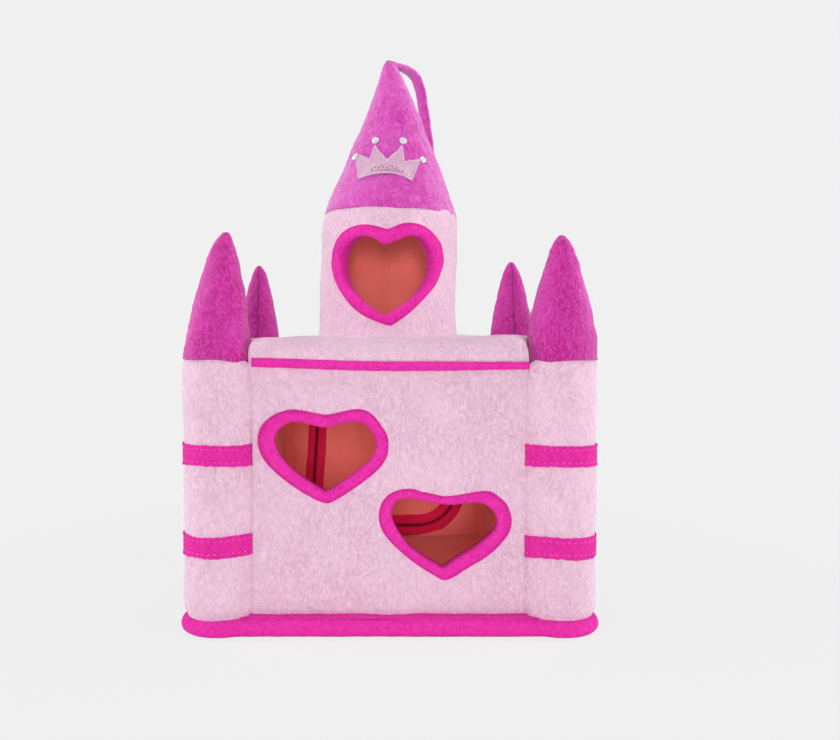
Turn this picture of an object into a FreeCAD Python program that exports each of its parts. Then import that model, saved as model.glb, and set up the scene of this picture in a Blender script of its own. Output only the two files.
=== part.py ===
"""Soft plush castle, stuffed and sewn, with a hinged back door.

A lined room with foam walls stands on a padded base with a rolled edge. Four
stuffed turrets are sewn to its corners. A padded roof carries a hollow tower
with a heart window, a stuffed cone and a carry loop. A U-shaped door in the
back wall swings up and outwards on a sewn welt along its top edge.

Millimetres, +Z up, front to -Y. The origin is at the middle of the underside.
"""
import FreeCAD, Part
import os
import re
from math import acos, asin, atan2, cos, hypot, pi, sin, sqrt, tan

import Sketcher
from FreeCAD import Placement, Rotation, Vector

# Every size that can be set by itself: cell name, value in mm (or degrees), meaning
SIZES = (
    # Base
    ("set_back_x", 4.4, "base edge between the turrets, in from their feet, at the sides"),
    ("set_back_y", 3.4, "base edge between the turrets, in from their feet, front and back"),
    ("roll_margin", 1.6, "base roll past the turret wall"),
    ("roll_thick", 9.5, "diameter of the stuffed roll round the base"),
    ("roll_blend", 12.0, "radius of the hollow blend of the roll beside a turret"),
    ("lip_inset", 2.2, "edge of the base top, in from the roll's outside"),
    ("base_height", 12.0, "top of the base, where walls and turrets stand"),
    ("board_thick", 3.0, "stiff board in the base and in the roof"),
    ("cloth_thick", 0.8, "lining and cover cloth"),
    # Room and its walls
    ("room_half_x", 73.2, "inside of the room, from the middle, across"),
    ("room_half_y", 86.0, "inside of the room, from the middle, front to back"),
    ("foam_thick", 6.2, "foam in the walls and the door"),
    ("plush_thick", 2.0, "plush skin on the walls, the door and the tower"),
    ("wall_height", 126.0, "height of the walls"),
    # Windows of the front wall
    ("window_spread", 16.2, "lobe centres of a front window, from its middle line"),
    ("window_lobe", 10.6, "radius of a lobe of a front window"),
    ("window_cleft", 3.1, "cleft of a front window below its lobe tops"),
    ("window_drop", 26.4, "tip of a front window below its lobe centres"),
    ("left_window_x", -34.3, "middle line of the left window"),
    ("left_window_rise", 90.5, "lobe centres of the left window above the base"),
    ("right_window_x", 28.6, "middle line of the right window"),
    ("right_window_rise", 49.9, "lobe centres of the right window above the base"),
    ("window_tilt", 2.0, "degrees that the front windows lean to the right"),
    ("window_band", 7.0, "width of the binding round a front window"),
    ("binding_thick", 1.0, "binding fleece, where it lies over an edge or a face"),
    # Back door
    ("door_half", 52.0, "half width of the door"),
    ("door_corner", 30.0, "corner radius of the door's foot"),
    ("door_sill", 7.9, "lowest edge of the door above the base"),
    ("door_gap", 1.2, "gap between the door and the doorway"),
    ("door_band", 5.5, "width of the bindings on the door and the doorway"),
    ("hinge_drop", 16.0, "axis of the door's hinge below the top of the walls"),
    ("welt_radius", 1.2, "sewn welt that the door hangs from"),
    ("welt_play", 0.3, "room between the welt and the door"),
    # Roof
    ("roof_eave", 5.6, "roof cushion past the walls"),
    ("roof_shoulder_rise", 7.5, "shoulder of the roof cushion above the piping"),
    ("roof_height", 19.0, "flat top of the roof cushion above the walls"),
    ("shoulder_inset_x", 2.0, "shoulder in from the eave, across"),
    ("shoulder_inset_y", 6.0, "shoulder in from the eave, front to back"),
    ("crest_inset_x", 16.0, "flat top in from the eave, across"),
    ("crest_inset_y", 24.0, "flat top in from the eave, front to back"),
    ("piping_thick", 5.0, "diameter of the piping under the roof's edge"),
    ("piping_rise", 4.0, "middle of the piping above the walls"),
    ("piping_stand", 0.4, "piping off the wall's face"),
    # Turrets
    ("turret_stand", 9.5, "turret axes out from the side walls"),
    ("turret_tuck", 10.3, "turret axes in from the front and back walls"),
    ("turret_radius", 18.6, "radius of a turret"),
    ("turret_over", 7.0, "top of a turret's column above the walls"),
    ("seam_gap", 0.3, "turret off the wall and the roof that it is sewn to"),
    ("peak_height", 66.6, "height of a turret's cone"),
    ("peak_bulge", 175.0, "radius of the cone's bulging side"),
    ("peak_tip", 2.6, "radius of the cone's blunt tip"),
    ("band_thick", 1.1, "felt band round a turret"),
    ("band_height", 11.5, "height of a felt band"),
    ("upper_band_rise", 84.0, "middle of the upper bands above the base"),
    ("lower_band_rise", 36.0, "middle of the lower bands above the base"),
    # Tower
    ("tower_foot", 43.9, "radius of the tower at its foot"),
    ("tower_head", 40.3, "radius of the tower at its top"),
    ("tower_height", 77.6, "height of the tower's wall"),
    ("tower_foam_thick", 3.6, "foam in the tower's wall"),
    ("tower_spread", 15.5, "lobe centres of the tower window, from its middle line"),
    ("tower_lobe", 11.6, "radius of a lobe of the tower window"),
    ("tower_cleft", 4.2, "cleft of the tower window below its lobe tops"),
    ("tower_drop", 34.9, "tip of the tower window below its lobe centres"),
    ("tower_window_rise", 48.4, "lobe centres of the tower window above the roof"),
    ("tower_band", 6.2, "width of the binding round the tower window"),
    ("spire_height", 96.1, "height of the tower's cone"),
    ("spire_tip", 4.0, "radius of the cone's blunt tip"),
    # Crown on the cone
    ("crown_x", 0.2, "middle line of the crown"),
    ("crown_foot", 15.8, "half width of the crown at its foot"),
    ("crown_rise", 16.0, "foot corners of the crown above the tower's wall"),
    ("crown_arch", 4.5, "foot edge of the crown at its middle, above its corners"),
    ("crown_outer_x", 18.9, "outer points of the crown, from its middle line"),
    ("crown_outer_up", 15.9, "outer points of the crown above its foot corners"),
    ("crown_dip_x", 10.6, "side dips of the crown, from its middle line"),
    ("crown_dip_up", 11.7, "dips of the crown above its foot corners"),
    ("crown_inner_x", 7.9, "inner points of the crown, from its middle line"),
    ("crown_inner_up", 22.2, "inner points of the crown above its foot corners"),
    ("crown_thick", 0.7, "thickness of the crown's mesh"),
    ("crown_edge", 1.5, "width of the satin stitch round the crown"),
    ("crown_edge_thick", 1.2, "thickness of the satin stitch"),
    ("stone_radius", 2.8, "radius of a stone"),
    ("stone_height", 2.2, "height of a stone"),
    ("stone_lift", 3.4, "middle of a stone past the crown's point"),
    # Carry loop
    ("loop_azimuth", 50.0, "degrees from +X to +Y of the plane that the loop lies in"),
    ("loop_width", 7.5, "width of the strap"),
    ("loop_thick", 3.6, "thickness of the strap"),
    ("loop_start_down", 2.3, "strap where it leaves the cone, below its top"),
    ("loop_far", 30.6, "upper bend of the strap, out from the tower's axis"),
    ("loop_far_down", 1.4, "upper bend of the strap below the cone's top"),
    ("loop_bow", 48.8, "lower bend of the strap, out from the tower's axis"),
    ("loop_bow_up", 33.4, "lower bend of the strap above the tower's wall"),
    ("loop_sink", 1.0, "end of the strap inside the cone's foot"),
    ("loop_bend", 13.0, "radius of the upper bend"),
    ("loop_turn", 30.0, "radius of the lower bend"),
)
NAMES = {name for name, value, meaning in SIZES}
STONE_SUNK = 0.15  # share of a stone's height that sits in the nap of the cone

# Places that follow from the sizes above
WALL = "(plush_thick + foam_thick + cloth_thick)"
OUT_X, OUT_Y = f"(room_half_x + {WALL})", f"(room_half_y + {WALL})"
FOAM_X, FOAM_Y = "(room_half_x + cloth_thick + foam_thick)", "(room_half_y + cloth_thick + foam_thick)"
LINED_X, LINED_Y = "(room_half_x + cloth_thick)", "(room_half_y + cloth_thick)"
TURRET_X, TURRET_Y = f"({OUT_X} + turret_stand)", f"({OUT_Y} - turret_tuck)"
TURRETS = {"x": TURRET_X, "y": TURRET_Y}
FOOT = "(turret_radius + roll_margin)"
EDGES = {"x": f"({TURRET_X} + {FOOT} - set_back_x)", "y": f"({TURRET_Y} + {FOOT} - set_back_y)"}
WALL_TOP = "(base_height + wall_height)"
WALL_Z = ("base_height", WALL_TOP)
PIPING_Z = f"({WALL_TOP} + piping_rise)"
TURRET_TOP = f"({WALL_TOP} + turret_over)"
CREST = f"({WALL_TOP} + roof_height)"
TOWER_TOP = f"({CREST} + tower_height)"
SPIRE_TOP = f"({TOWER_TOP} + spire_height)"
SPIRE_NECK = f"({SPIRE_TOP} - spire_tip)"
HINGE_Z = f"({WALL_TOP} - hinge_drop)"
DOOR_Z = "(base_height + door_sill)"
CROWN_Z = f"({TOWER_TOP} + crown_rise)"
CORNERS = {f"{end}_{side}": (f"{x}{TURRET_X}", f"{y}{TURRET_Y}")
           for end, y in (("front", "-"), ("rear", "")) for side, x in (("left", "-"), ("right", ""))}

doc = FreeCAD.newDocument("PlushCastle")
sheet = doc.addObject("Spreadsheet::Sheet", "Sizes")
for row, (name, value, meaning) in enumerate(SIZES, start=1):
    sheet.set(f"A{row}", meaning)
    sheet.set(f"B{row}", str(value))
    sheet.setAlias(f"B{row}", name)
doc.recompute()
nodes = []


def spelled(text):
    """An expression with the sheet's name before each cell's name."""
    return re.sub(r"[a-z][a-z_]+", lambda word: f"Sizes.{word[0]}" if word[0] in NAMES else word[0], text)


def size(text):
    """What an expression on the cells comes to, worked out by the sheet itself."""
    sheet.set("D1", f"={text}")
    sheet.recompute()
    return float(sheet.get("D1"))


def bind(thing, ties):
    """Tie properties of an object to expressions written with the cells' names."""
    for target, text in ties.items():
        thing.setExpression(target, spelled(text))
    return thing


def node(thing, name):
    """Name a finished sub-part and put it on the list of nodes."""
    thing.Label = name
    nodes.append(thing)
    return thing


# Shapes that the sub-parts are made from. Each size is an expression.

def box(x, y, z):
    """A box from three (low, high) pairs of expressions."""
    piece = doc.addObject("Part::Box", "Box")
    sides = {"Length": x, "Width": y, "Height": z}
    ties = {side: f"({high}) - ({low})" for side, (low, high) in sides.items()}
    ties |= {f"Placement.Base.{axis}": low for axis, (low, high) in zip("xyz", (x, y, z))}
    return bind(piece, ties)


def slab(half_x, half_y, z):
    """A box centred on the Z axis."""
    return box((f"-({half_x})", half_x), (f"-({half_y})", half_y), z)


def disc(radius, x, y, z):
    """An upright cylinder."""
    piece = doc.addObject("Part::Cylinder", "Disc")
    return bind(piece, {"Radius": radius, "Height": f"({z[1]}) - ({z[0]})", "Placement.Base.x": x,
                        "Placement.Base.y": y, "Placement.Base.z": z[0]})


def rod(radius, direction, half_length, x, y, z):
    """A lying cylinder along X or Y, from its middle."""
    piece = doc.addObject("Part::Cylinder", "Rod")
    turn = Rotation(Vector(0, 1, 0), 90) if direction == "x" else Rotation(Vector(1, 0, 0), -90)
    piece.Placement = Placement(Vector(), turn)
    place = {"x": x, "y": y, "z": z}
    place[direction] = f"{place[direction]} - ({half_length})"
    ties = {f"Placement.Base.{axis}": text for axis, text in place.items()}
    return bind(piece, ties | {"Radius": radius, "Height": f"2 * ({half_length})"})


def taper(radius_low, radius_high, z):
    """An upright cone about the Z axis, cut off at both ends."""
    piece = doc.addObject("Part::Cone", "Taper")
    return bind(piece, {"Radius1": radius_low, "Radius2": radius_high, "Height": f"({z[1]}) - ({z[0]})",
                        "Placement.Base.z": z[0]})


def frustum(low, high, z):
    """A block about the Z axis whose sides slope from the low half sizes to the high ones."""
    piece = doc.addObject("Part::Wedge", "Frustum")
    piece.Placement = Placement(Vector(), Rotation(Vector(1, 0, 0), 90))
    return bind(piece, {"Xmin": f"-({low[0]})", "Xmax": low[0], "Zmin": f"-({low[1]})", "Zmax": low[1],
                        "X2min": f"-({high[0]})", "X2max": high[0], "Z2min": f"-({high[1]})", "Z2max": high[1],
                        "Ymin": z[0], "Ymax": z[1]})


def fuse(*pieces):
    joined = doc.addObject("Part::MultiFuse", "Fuse")
    joined.Shapes = list(pieces)
    return joined


def group(*pieces):
    """Pieces that don't meet, kept together without joining them."""
    if len(pieces) == 1:
        return pieces[0]
    together = doc.addObject("Part::Compound", "Group")
    together.Links = list(pieces)
    return together


def cut(base, *tools):
    piece = doc.addObject("Part::Cut", "Cut")
    piece.Base = base
    piece.Tool = group(*tools)
    return piece


def common(first, second):
    piece = doc.addObject("Part::MultiCommon", "Common")
    piece.Shapes = [first, second]
    return piece


def outline(name, x="0", z="0", tilt=0.0):
    """An empty sketch that stands in the XZ plane, leaning to the right by tilt degrees."""
    sketch = doc.addObject("Sketcher::SketchObject", name)
    upright = Rotation(Vector(1, 0, 0), 90)
    sketch.Placement = Placement(Vector(), Rotation(Vector(0, 1, 0), tilt) * upright)
    return bind(sketch, {"Placement.Base.x": x, "Placement.Base.z": z})


def constrain(sketch, *joints):
    for joint in joints:
        sketch.addConstraint(Sketcher.Constraint(*joint))


def dimension(sketch, name, expression, *parts):
    """Add one measured constraint and tie it to an expression."""
    index = sketch.addConstraint(Sketcher.Constraint(*parts))
    sketch.renameConstraint(index, name)
    bind(sketch, {f"Constraints.{name}": expression})


def offset(shape, amount):
    """The outline moved outwards by an amount, or inwards by a negative one, with round corners."""
    moved = doc.addObject("Part::Offset2D", "Offset")
    moved.Source = shape
    moved.Join = "Arc"
    return bind(moved, {"Value": amount})


def prism(shape, low, high):
    """An outline of the XZ plane carried along Y, from low to high."""
    piece = doc.addObject("Part::Extrusion", "Prism")
    piece.Base = shape
    piece.DirMode = "Custom"
    piece.Dir = Vector(0, 1, 0)
    piece.Solid = True
    piece.FaceMakerClass = "Part::FaceMakerBullseye"
    return bind(piece, {"LengthFwd": high, "LengthRev": f"-({low})"})


START, END, CENTRE = range(1, 4)  # how a sketch numbers the points of a line or an arc
H_AXIS, V_AXIS = range(-1, -3, -1)
ORIGIN = (H_AXIS, START)


def arc(x, z, radius, first, last):
    """An arc of a sketch, from one angle to another in radians."""
    return Part.ArcOfCircle(Part.Circle(Vector(x, z, 0), Vector(0, 0, 1), radius), first, last)


def line(x1, z1, x2, z2):
    return Part.LineSegment(Vector(x1, z1, 0), Vector(x2, z2, 0))


def heart(name, prefix, x, z, tilt=0.0):
    """A heart about the sketch's own origin, which is midway between its lobe centres.

    The sides run straight from the tip to the lobes, which they meet without a
    corner. A wider arc on each side falls from the lobe's top to the cleft.
    """
    spread, lobe, cleft, drop = (size(f"{prefix}_{word}") for word in ("spread", "lobe", "cleft", "drop"))
    sketch = outline(name, x, z, tilt)
    wide = (spread**2 + cleft**2) / (2 * cleft)
    touch = atan2(-drop, -spread) + acos(lobe / hypot(spread, drop))
    at = (spread + lobe * cos(touch), lobe * sin(touch))
    fall = atan2(wide - cleft, -spread)
    top = lobe - wide
    sketch.addGeometry([
        line(0, -drop, *at),
        arc(spread, 0, lobe, touch, pi / 2),
        arc(spread, top, wide, pi / 2, fall),
        arc(-spread, top, wide, pi - fall, pi / 2),
        arc(-spread, 0, lobe, pi / 2, pi - touch),
        line(-at[0], at[1], 0, -drop),
    ])
    constrain(
        sketch,
        ("Tangent", 0, END, 1, START), ("Tangent", 1, END, 2, START), ("Coincident", 2, END, 3, START),
        ("Tangent", 3, END, 4, START), ("Tangent", 4, END, 5, START), ("Coincident", 5, END, 0, START),
        ("PointOnObject", 0, START, V_AXIS), ("PointOnObject", 2, END, V_AXIS),
        ("Vertical", 1, CENTRE, 2, CENTRE), ("Vertical", 4, CENTRE, 3, CENTRE),
        ("Symmetric", 4, CENTRE, 1, CENTRE, *ORIGIN), ("PointOnObject", 1, CENTRE, H_AXIS),
    )
    dimension(sketch, "RightLobe", f"{prefix}_lobe", "Radius", 1, lobe)
    dimension(sketch, "LeftLobe", f"{prefix}_lobe", "Radius", 4, lobe)
    dimension(sketch, "Spread", f"2 * {prefix}_spread", "DistanceX", 4, CENTRE, 1, CENTRE, 2 * spread)
    dimension(sketch, "Drop", f"{prefix}_drop", "DistanceY", 0, START, *ORIGIN, drop)
    dimension(sketch, "Cleft", f"{prefix}_lobe - {prefix}_cleft", "DistanceY", *ORIGIN, 2, END, lobe - cleft)
    return sketch


def flap(name, half, corner, bottom, top):
    """A U: straight sides and top, and round lower corners. Sizes are expressions."""
    w, r, low, high = (size(text) for text in (half, corner, bottom, top))
    sketch = outline(name)
    sketch.addGeometry([
        line(r - w, low, w - r, low),
        arc(w - r, low + r, r, -pi / 2, 0),
        line(w, low + r, w, high),
        line(w, high, -w, high),
        line(-w, high, -w, low + r),
        arc(r - w, low + r, r, pi, 3 * pi / 2),
    ])
    constrain(
        sketch,
        ("Tangent", 0, END, 1, START), ("Tangent", 1, END, 2, START), ("Coincident", 2, END, 3, START),
        ("Coincident", 3, END, 4, START), ("Tangent", 4, END, 5, START), ("Tangent", 5, END, 0, START),
        ("Horizontal", 0), ("Horizontal", 3), ("Vertical", 2), ("Vertical", 4),
    )
    dimension(sketch, "RightCorner", corner, "Radius", 1, r)
    dimension(sketch, "LeftCorner", corner, "Radius", 5, r)
    dimension(sketch, "RightSide", half, "DistanceX", *ORIGIN, 2, END, w)
    dimension(sketch, "LeftSide", half, "DistanceX", 4, START, *ORIGIN, w)
    dimension(sketch, "Bottom", bottom, "DistanceY", *ORIGIN, 0, START, low)
    dimension(sketch, "Top", top, "DistanceY", *ORIGIN, 2, END, high)
    return sketch


def peak_outline(name, x, y):
    """Half of a turret's cone: a foot, one long bulging side and a blunt tip.

    The small circle of the tip touches the large circle of the side from within.
    """
    foot, height, bulge, tip = (size(word) for word in ("turret_radius", "peak_height", "peak_bulge", "peak_tip"))
    top = height - tip
    far = hypot(foot, top)
    lean = acos((far**2 + bulge**2 - (bulge - tip)**2) / (2 * far * bulge))
    aim = atan2(top, -foot) + lean
    centre = (foot + bulge * cos(aim), bulge * sin(aim))
    touch = atan2(top - centre[1], -centre[0])
    sketch = outline(name, x, TURRET_TOP)
    bind(sketch, {"Placement.Base.y": y})
    sketch.addGeometry([
        line(0, 0, foot, 0),
        arc(*centre, bulge, aim - pi, touch),
        arc(0, top, tip, touch, pi / 2),
        line(0, height, 0, 0),
    ])
    constrain(
        sketch,
        ("Coincident", 0, START, *ORIGIN), ("Horizontal", 0), ("Coincident", 0, END, 1, START),
        ("Tangent", 1, END, 2, START), ("Coincident", 2, END, 3, START), ("Coincident", 3, END, *ORIGIN),
        ("PointOnObject", 2, CENTRE, V_AXIS), ("Vertical", 3),
    )
    dimension(sketch, "Foot", "turret_radius", "DistanceX", 0, START, 0, END, foot)
    dimension(sketch, "Height", "peak_height", "DistanceY", 3, END, 3, START, height)
    dimension(sketch, "Bulge", "peak_bulge", "Radius", 1, bulge)
    dimension(sketch, "Tip", "peak_tip", "Radius", 2, tip)
    return sketch


def crown_outline():
    """A crown with four points and an arched foot, the same on both sides of its middle line."""
    places = [("crown_foot", "0"), ("crown_outer_x", "crown_outer_up"), ("crown_dip_x", "crown_dip_up"),
              ("crown_inner_x", "crown_inner_up")]
    right = [(size(x), size(z)) for x, z in places]
    foot, arch, dip = size("crown_foot"), size("crown_arch"), size("crown_dip_up")
    path = right + [(0, dip)] + [(-x, z) for x, z in reversed(right)]
    swell = (foot**2 + arch**2) / (2 * arch)
    half = asin(foot / swell)
    sketch = outline("CrownOutline", "crown_x", CROWN_Z)
    sketch.addGeometry([line(*first, *second) for first, second in zip(path, path[1:])])
    sketch.addGeometry([arc(0, arch - swell, swell, pi / 2 - half, pi / 2 + half)])
    last = len(path) - 1
    constrain(
        sketch,
        *(("Coincident", at, END, at + 1, START) for at in range(last - 1)),
        ("Coincident", last, START, 0, START), ("Coincident", last, END, last - 1, END),
        ("PointOnObject", len(right) - 1, END, V_AXIS),
    )
    for at, (x, z) in enumerate(places):
        mirrored = (last - 1 - at, END)
        constrain(sketch, ("Symmetric", at, START, *mirrored, V_AXIS))
        dimension(sketch, f"Across{at}", x, "DistanceX", *ORIGIN, at, START, right[at][0])
        if at:
            dimension(sketch, f"Height{at}", z, "DistanceY", *ORIGIN, at, START, right[at][1])
        else:
            constrain(sketch, ("PointOnObject", at, START, H_AXIS))
    dimension(sketch, "MiddleDip", "crown_dip_up", "DistanceY", *ORIGIN, len(right) - 1, END, dip)
    dimension(sketch, "Arch", "(crown_foot^2 + crown_arch^2) / (2 * crown_arch)", "Radius", last, swell)
    return sketch


def loop_path():
    """Three straight runs of the strap's middle line, joined by two round bends."""
    corners = [("0", f"{SPIRE_TOP} - loop_start_down"), ("loop_far", f"{SPIRE_TOP} - loop_far_down"),
               ("loop_bow", f"{TOWER_TOP} + loop_bow_up"),
               ("tower_head - loop_sink", f"{TOWER_TOP} + loop_thick / 2 + seam_gap")]
    points = [Vector(size(x), size(z), 0) for x, z in corners]
    bends = [size("loop_bend"), size("loop_turn")]
    sketch = doc.addObject("Sketcher::SketchObject", "LoopPath")
    upright = Rotation(Vector(1, 0, 0), 90)
    sketch.Placement = Placement(Vector(), Rotation(Vector(0, 0, 1), size("loop_azimuth")) * upright)
    stops = [points[0]]
    arcs = []
    for at, radius in enumerate(bends, start=1):
        back = (points[at - 1] - points[at]).normalize()
        ahead = (points[at + 1] - points[at]).normalize()
        half = acos(back.dot(ahead)) / 2
        centre = points[at] + (back + ahead).normalize() * (radius / sin(half))
        meet = [points[at] + way * (radius / tan(half)) for way in (back, ahead)]
        stops += meet
        angles = [atan2(place.y - centre.y, place.x - centre.x) for place in reversed(meet)]
        arcs.append(arc(centre.x, centre.y, radius, *angles))
    stops.append(points[-1])
    sketch.addGeometry([Part.LineSegment(stops[at], stops[at + 1]) for at in (0, 2, 4)])
    sketch.addGeometry(arcs)
    sketch.addGeometry([Part.Point(point) for point in points[1:3]], True)
    constrain(
        sketch,
        ("Tangent", 0, END, 3, END), ("Tangent", 3, START, 1, START),
        ("Tangent", 1, END, 4, END), ("Tangent", 4, START, 2, START),
        *(("PointOnObject", corner, START, run) for corner, run in ((5, 0), (5, 1), (6, 1), (6, 2))),
    )
    ends = [(0, START), (5, START), (6, START), (2, END)]
    for at, (end, (x, z)) in enumerate(zip(ends, corners)):
        if at:
            dimension(sketch, f"Out{at}", x, "DistanceX", *ORIGIN, *end, points[at].x)
        else:
            constrain(sketch, ("PointOnObject", *end, V_AXIS))
        dimension(sketch, f"Up{at}", z, "DistanceY", *ORIGIN, *end, points[at].y)
    dimension(sketch, "Bend", "loop_bend", "Radius", 3, bends[0])
    dimension(sketch, "Turn", "loop_turn", "Radius", 4, bends[1])
    return sketch


def footprint(inset, z):
    """The base's outline, moved in by an inset: a block with a round foot under each turret."""
    block = slab(f"{EDGES['x']} - ({inset})", f"{EDGES['y']} - ({inset})", z)
    feet = [disc(f"{FOOT} - ({inset})", x, y, z) for x, y in CORNERS.values()]
    return fuse(block, *feet)


def path_start():
    """Where the front run of the roll's middle line begins, at its left end."""
    swing = f"{FOOT} - roll_thick / 2 + roll_blend"
    return f"sqrt(({swing})^2 - ({EDGES['y']} - roll_thick / 2 + roll_blend - {TURRET_Y})^2) - {TURRET_X}"


def roll_path():
    """The roll's middle line: round each turret, set back between them, with a hollow blend each side.

    Every corner has an arc about the turret's axis and two blends that curve the other way.
    """
    hug, blend = size(f"{FOOT} - roll_thick / 2"), size("roll_blend")
    runs = {axis: size(f"{edge} - roll_thick / 2") for axis, edge in EDGES.items()}
    turrets = {axis: size(place) for axis, place in TURRETS.items()}
    ways = [("y", Vector(0, -1, 0)), ("x", Vector(1, 0, 0)), ("y", Vector(0, 1, 0)), ("x", Vector(-1, 0, 0))]
    corners = []
    for at, (axis, out) in enumerate(ways):
        next_axis, next_out = ways[(at + 1) % len(ways)]
        middle = out * turrets[axis] + next_out * turrets[next_axis]
        halves = []
        for near, side, far, other in ((axis, out, next_axis, next_out), (next_axis, next_out, axis, out)):
            back = sqrt((hug + blend)**2 - (runs[near] + blend - turrets[near])**2)
            centre = side * (runs[near] + blend) + other * (turrets[far] - back)
            halves.append((centre, centre - side * blend, middle + (centre - middle) * (hug / (hug + blend))))
        corners.append((middle, halves))

    def bow(centre, first, last):
        spot = [atan2(place.y - centre.y, place.x - centre.x) for place in (first, last)]
        return arc(centre.x, centre.y, (first - centre).Length, *spot)

    sketch = doc.addObject("Sketcher::SketchObject", "RollPath")
    bind(sketch, {"Placement.Base.z": "roll_thick / 2"})
    count = len(corners)
    for at, (middle, ((first, run_end, meet), (second, run_start, part_from))) in enumerate(corners):
        before = corners[at - 1][1][1][1]
        sketch.addGeometry([Part.LineSegment(before, run_end), bow(first, meet, run_end),
                            bow(middle, meet, part_from), bow(second, run_start, part_from)])
    for at, (axis, out) in enumerate(ways):
        next_axis, next_out = ways[(at + 1) % count]
        run, inward, round_turret, outward = range(4 * at, 4 * at + 4)
        following = 4 * ((at + 1) % count)
        constrain(
            sketch,
            ("Tangent", run, END, inward, END), ("Tangent", inward, START, round_turret, START),
            ("Tangent", round_turret, END, outward, END), ("Tangent", outward, START, following, START),
            ("Horizontal" if axis == "y" else "Vertical", run),
        )
        dimension(sketch, f"Hug{at}", f"{FOOT} - roll_thick / 2", "Radius", round_turret, hug)
        dimension(sketch, f"BlendIn{at}", "roll_blend", "Radius", inward, blend)
        dimension(sketch, f"BlendOut{at}", "roll_blend", "Radius", outward, blend)
        for tag, letter, way in ((f"Turret{at}", axis, out), (f"Beside{at}", next_axis, next_out)):
            ends = ((*ORIGIN, round_turret, CENTRE) if way.x + way.y > 0 else (round_turret, CENTRE, *ORIGIN))
            dimension(sketch, tag, TURRETS[letter], f"Distance{letter.upper()}", *ends, turrets[letter])
        ends = ((*ORIGIN, run, END) if out.x + out.y > 0 else (run, END, *ORIGIN))
        dimension(sketch, f"Run{at}", f"{EDGES[axis]} - roll_thick / 2", f"Distance{axis.upper()}", *ends,
                  runs[axis])
    return sketch


def make_base():
    """Underside cloth, board, foam, top cover with a lip over the roll, and the roll itself."""
    cover_low = "base_height - cloth_thick"
    room = slab("room_half_x", "room_half_y", (cover_low, "base_height"))
    node(footprint("roll_thick", ("0", "cloth_thick")), "base_underside")
    node(footprint("roll_thick", ("cloth_thick", "cloth_thick + board_thick")), "base_board")
    node(footprint("roll_thick", ("cloth_thick + board_thick", cover_low)), "base_foam")
    lip = cut(footprint("lip_inset", ("roll_thick", "base_height")),
              footprint("roll_thick", ("roll_thick - cloth_thick", cover_low)))
    node(cut(lip, room), "base_top_cover")
    node(slab("room_half_x", "room_half_y", (cover_low, "base_height")), "floor_lining")

    profile = doc.addObject("Part::Circle", "RollSection")
    profile.Placement = Placement(Vector(), Rotation(Vector(0, 1, 0), 90))
    start, level = path_start(), "roll_thick / 2"
    bind(profile, {"Radius": level, "Placement.Base.x": start, "Placement.Base.y": f"{level} - {EDGES['y']}",
                   "Placement.Base.z": level})
    path = roll_path()
    roll = doc.addObject("Part::Sweep", "Roll")
    roll.Sections = [profile]
    roll.Spine = (path, [f"Edge{at}" for at in range(1, 1 + len(path.Geometry))])
    roll.Solid = True
    node(roll, "base_roll")


def wall_layers(side, sign, along):
    """The plush, foam and lining of one wall, as blocks keyed by layer.

    The front and back walls (along X) run past the side walls, layer by layer.
    """
    steps = {"plush": (FOAM_X, OUT_X, FOAM_Y, OUT_Y), "foam": (LINED_X, FOAM_X, LINED_Y, FOAM_Y),
             "lining": ("room_half_x", LINED_X, "room_half_y", LINED_Y)}
    layers = {}
    for layer, (near_x, far_x, near_y, far_y) in steps.items():
        near, far = (near_y, far_y) if along == "x" else (near_x, far_x)
        across = (near, far) if sign == "" else (f"-{far}", f"-{near}")
        reach = far_x if along == "x" else near_y
        span = (f"-{reach}", reach)
        layers[layer] = box(span, across, WALL_Z) if along == "x" else box(across, span, WALL_Z)
    return layers


def binding(hole, band, low, high, skins):
    """A fleece binding that wraps an opening's edge: a ring on both faces, joined through the opening."""
    ring = cut(prism(offset(hole, band), low, high), prism(hole, f"{low} - seam_gap", f"{high} + seam_gap"))
    return cut(ring, cut(skins, prism(offset(hole, "binding_thick"), f"{low} - seam_gap", f"{high} + seam_gap")))


def make_walls():
    """Front wall with two heart windows, back wall with the doorway, two plain side walls."""
    hearts = {side: heart(f"{side.title()}Window", "window", f"{side}_window_x",
                          f"base_height + {side}_window_rise", size("window_tilt")) for side in ("left", "right")}
    doorway = flap("Doorway", "door_half + door_gap", "door_corner + door_gap", f"{DOOR_Z} - door_gap",
                   f"{HINGE_Z} + welt_radius")
    front = (f"-({OUT_Y} + binding_thick)", "-(room_half_y - binding_thick)")
    back = ("room_half_y - binding_thick", f"{OUT_Y} + binding_thick")
    front_holes = [prism(offset(hole, "binding_thick"), *front) for hole in hearts.values()]
    back_hole = prism(offset(doorway, "binding_thick"), *back)
    for side, sign, along, holes in (("front", "-", "x", front_holes), ("back", "", "x", [back_hole]),
                                     ("left", "-", "y", []), ("right", "", "y", [])):
        for layer, block in wall_layers(side, sign, along).items():
            node(cut(block, *holes) if holes else block, f"{side}_wall_{layer}")
    span = (f"-{OUT_X}", OUT_X)
    for side, hole in hearts.items():
        skins = box(span, (f"-{OUT_Y}", "-room_half_y"), WALL_Z)
        node(binding(hole, "window_band", *front, skins), f"{side}_window_binding")
    skins = box(span, ("room_half_y", OUT_Y), WALL_Z)
    node(binding(doorway, "door_band", *back, skins), "doorway_binding")


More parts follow.
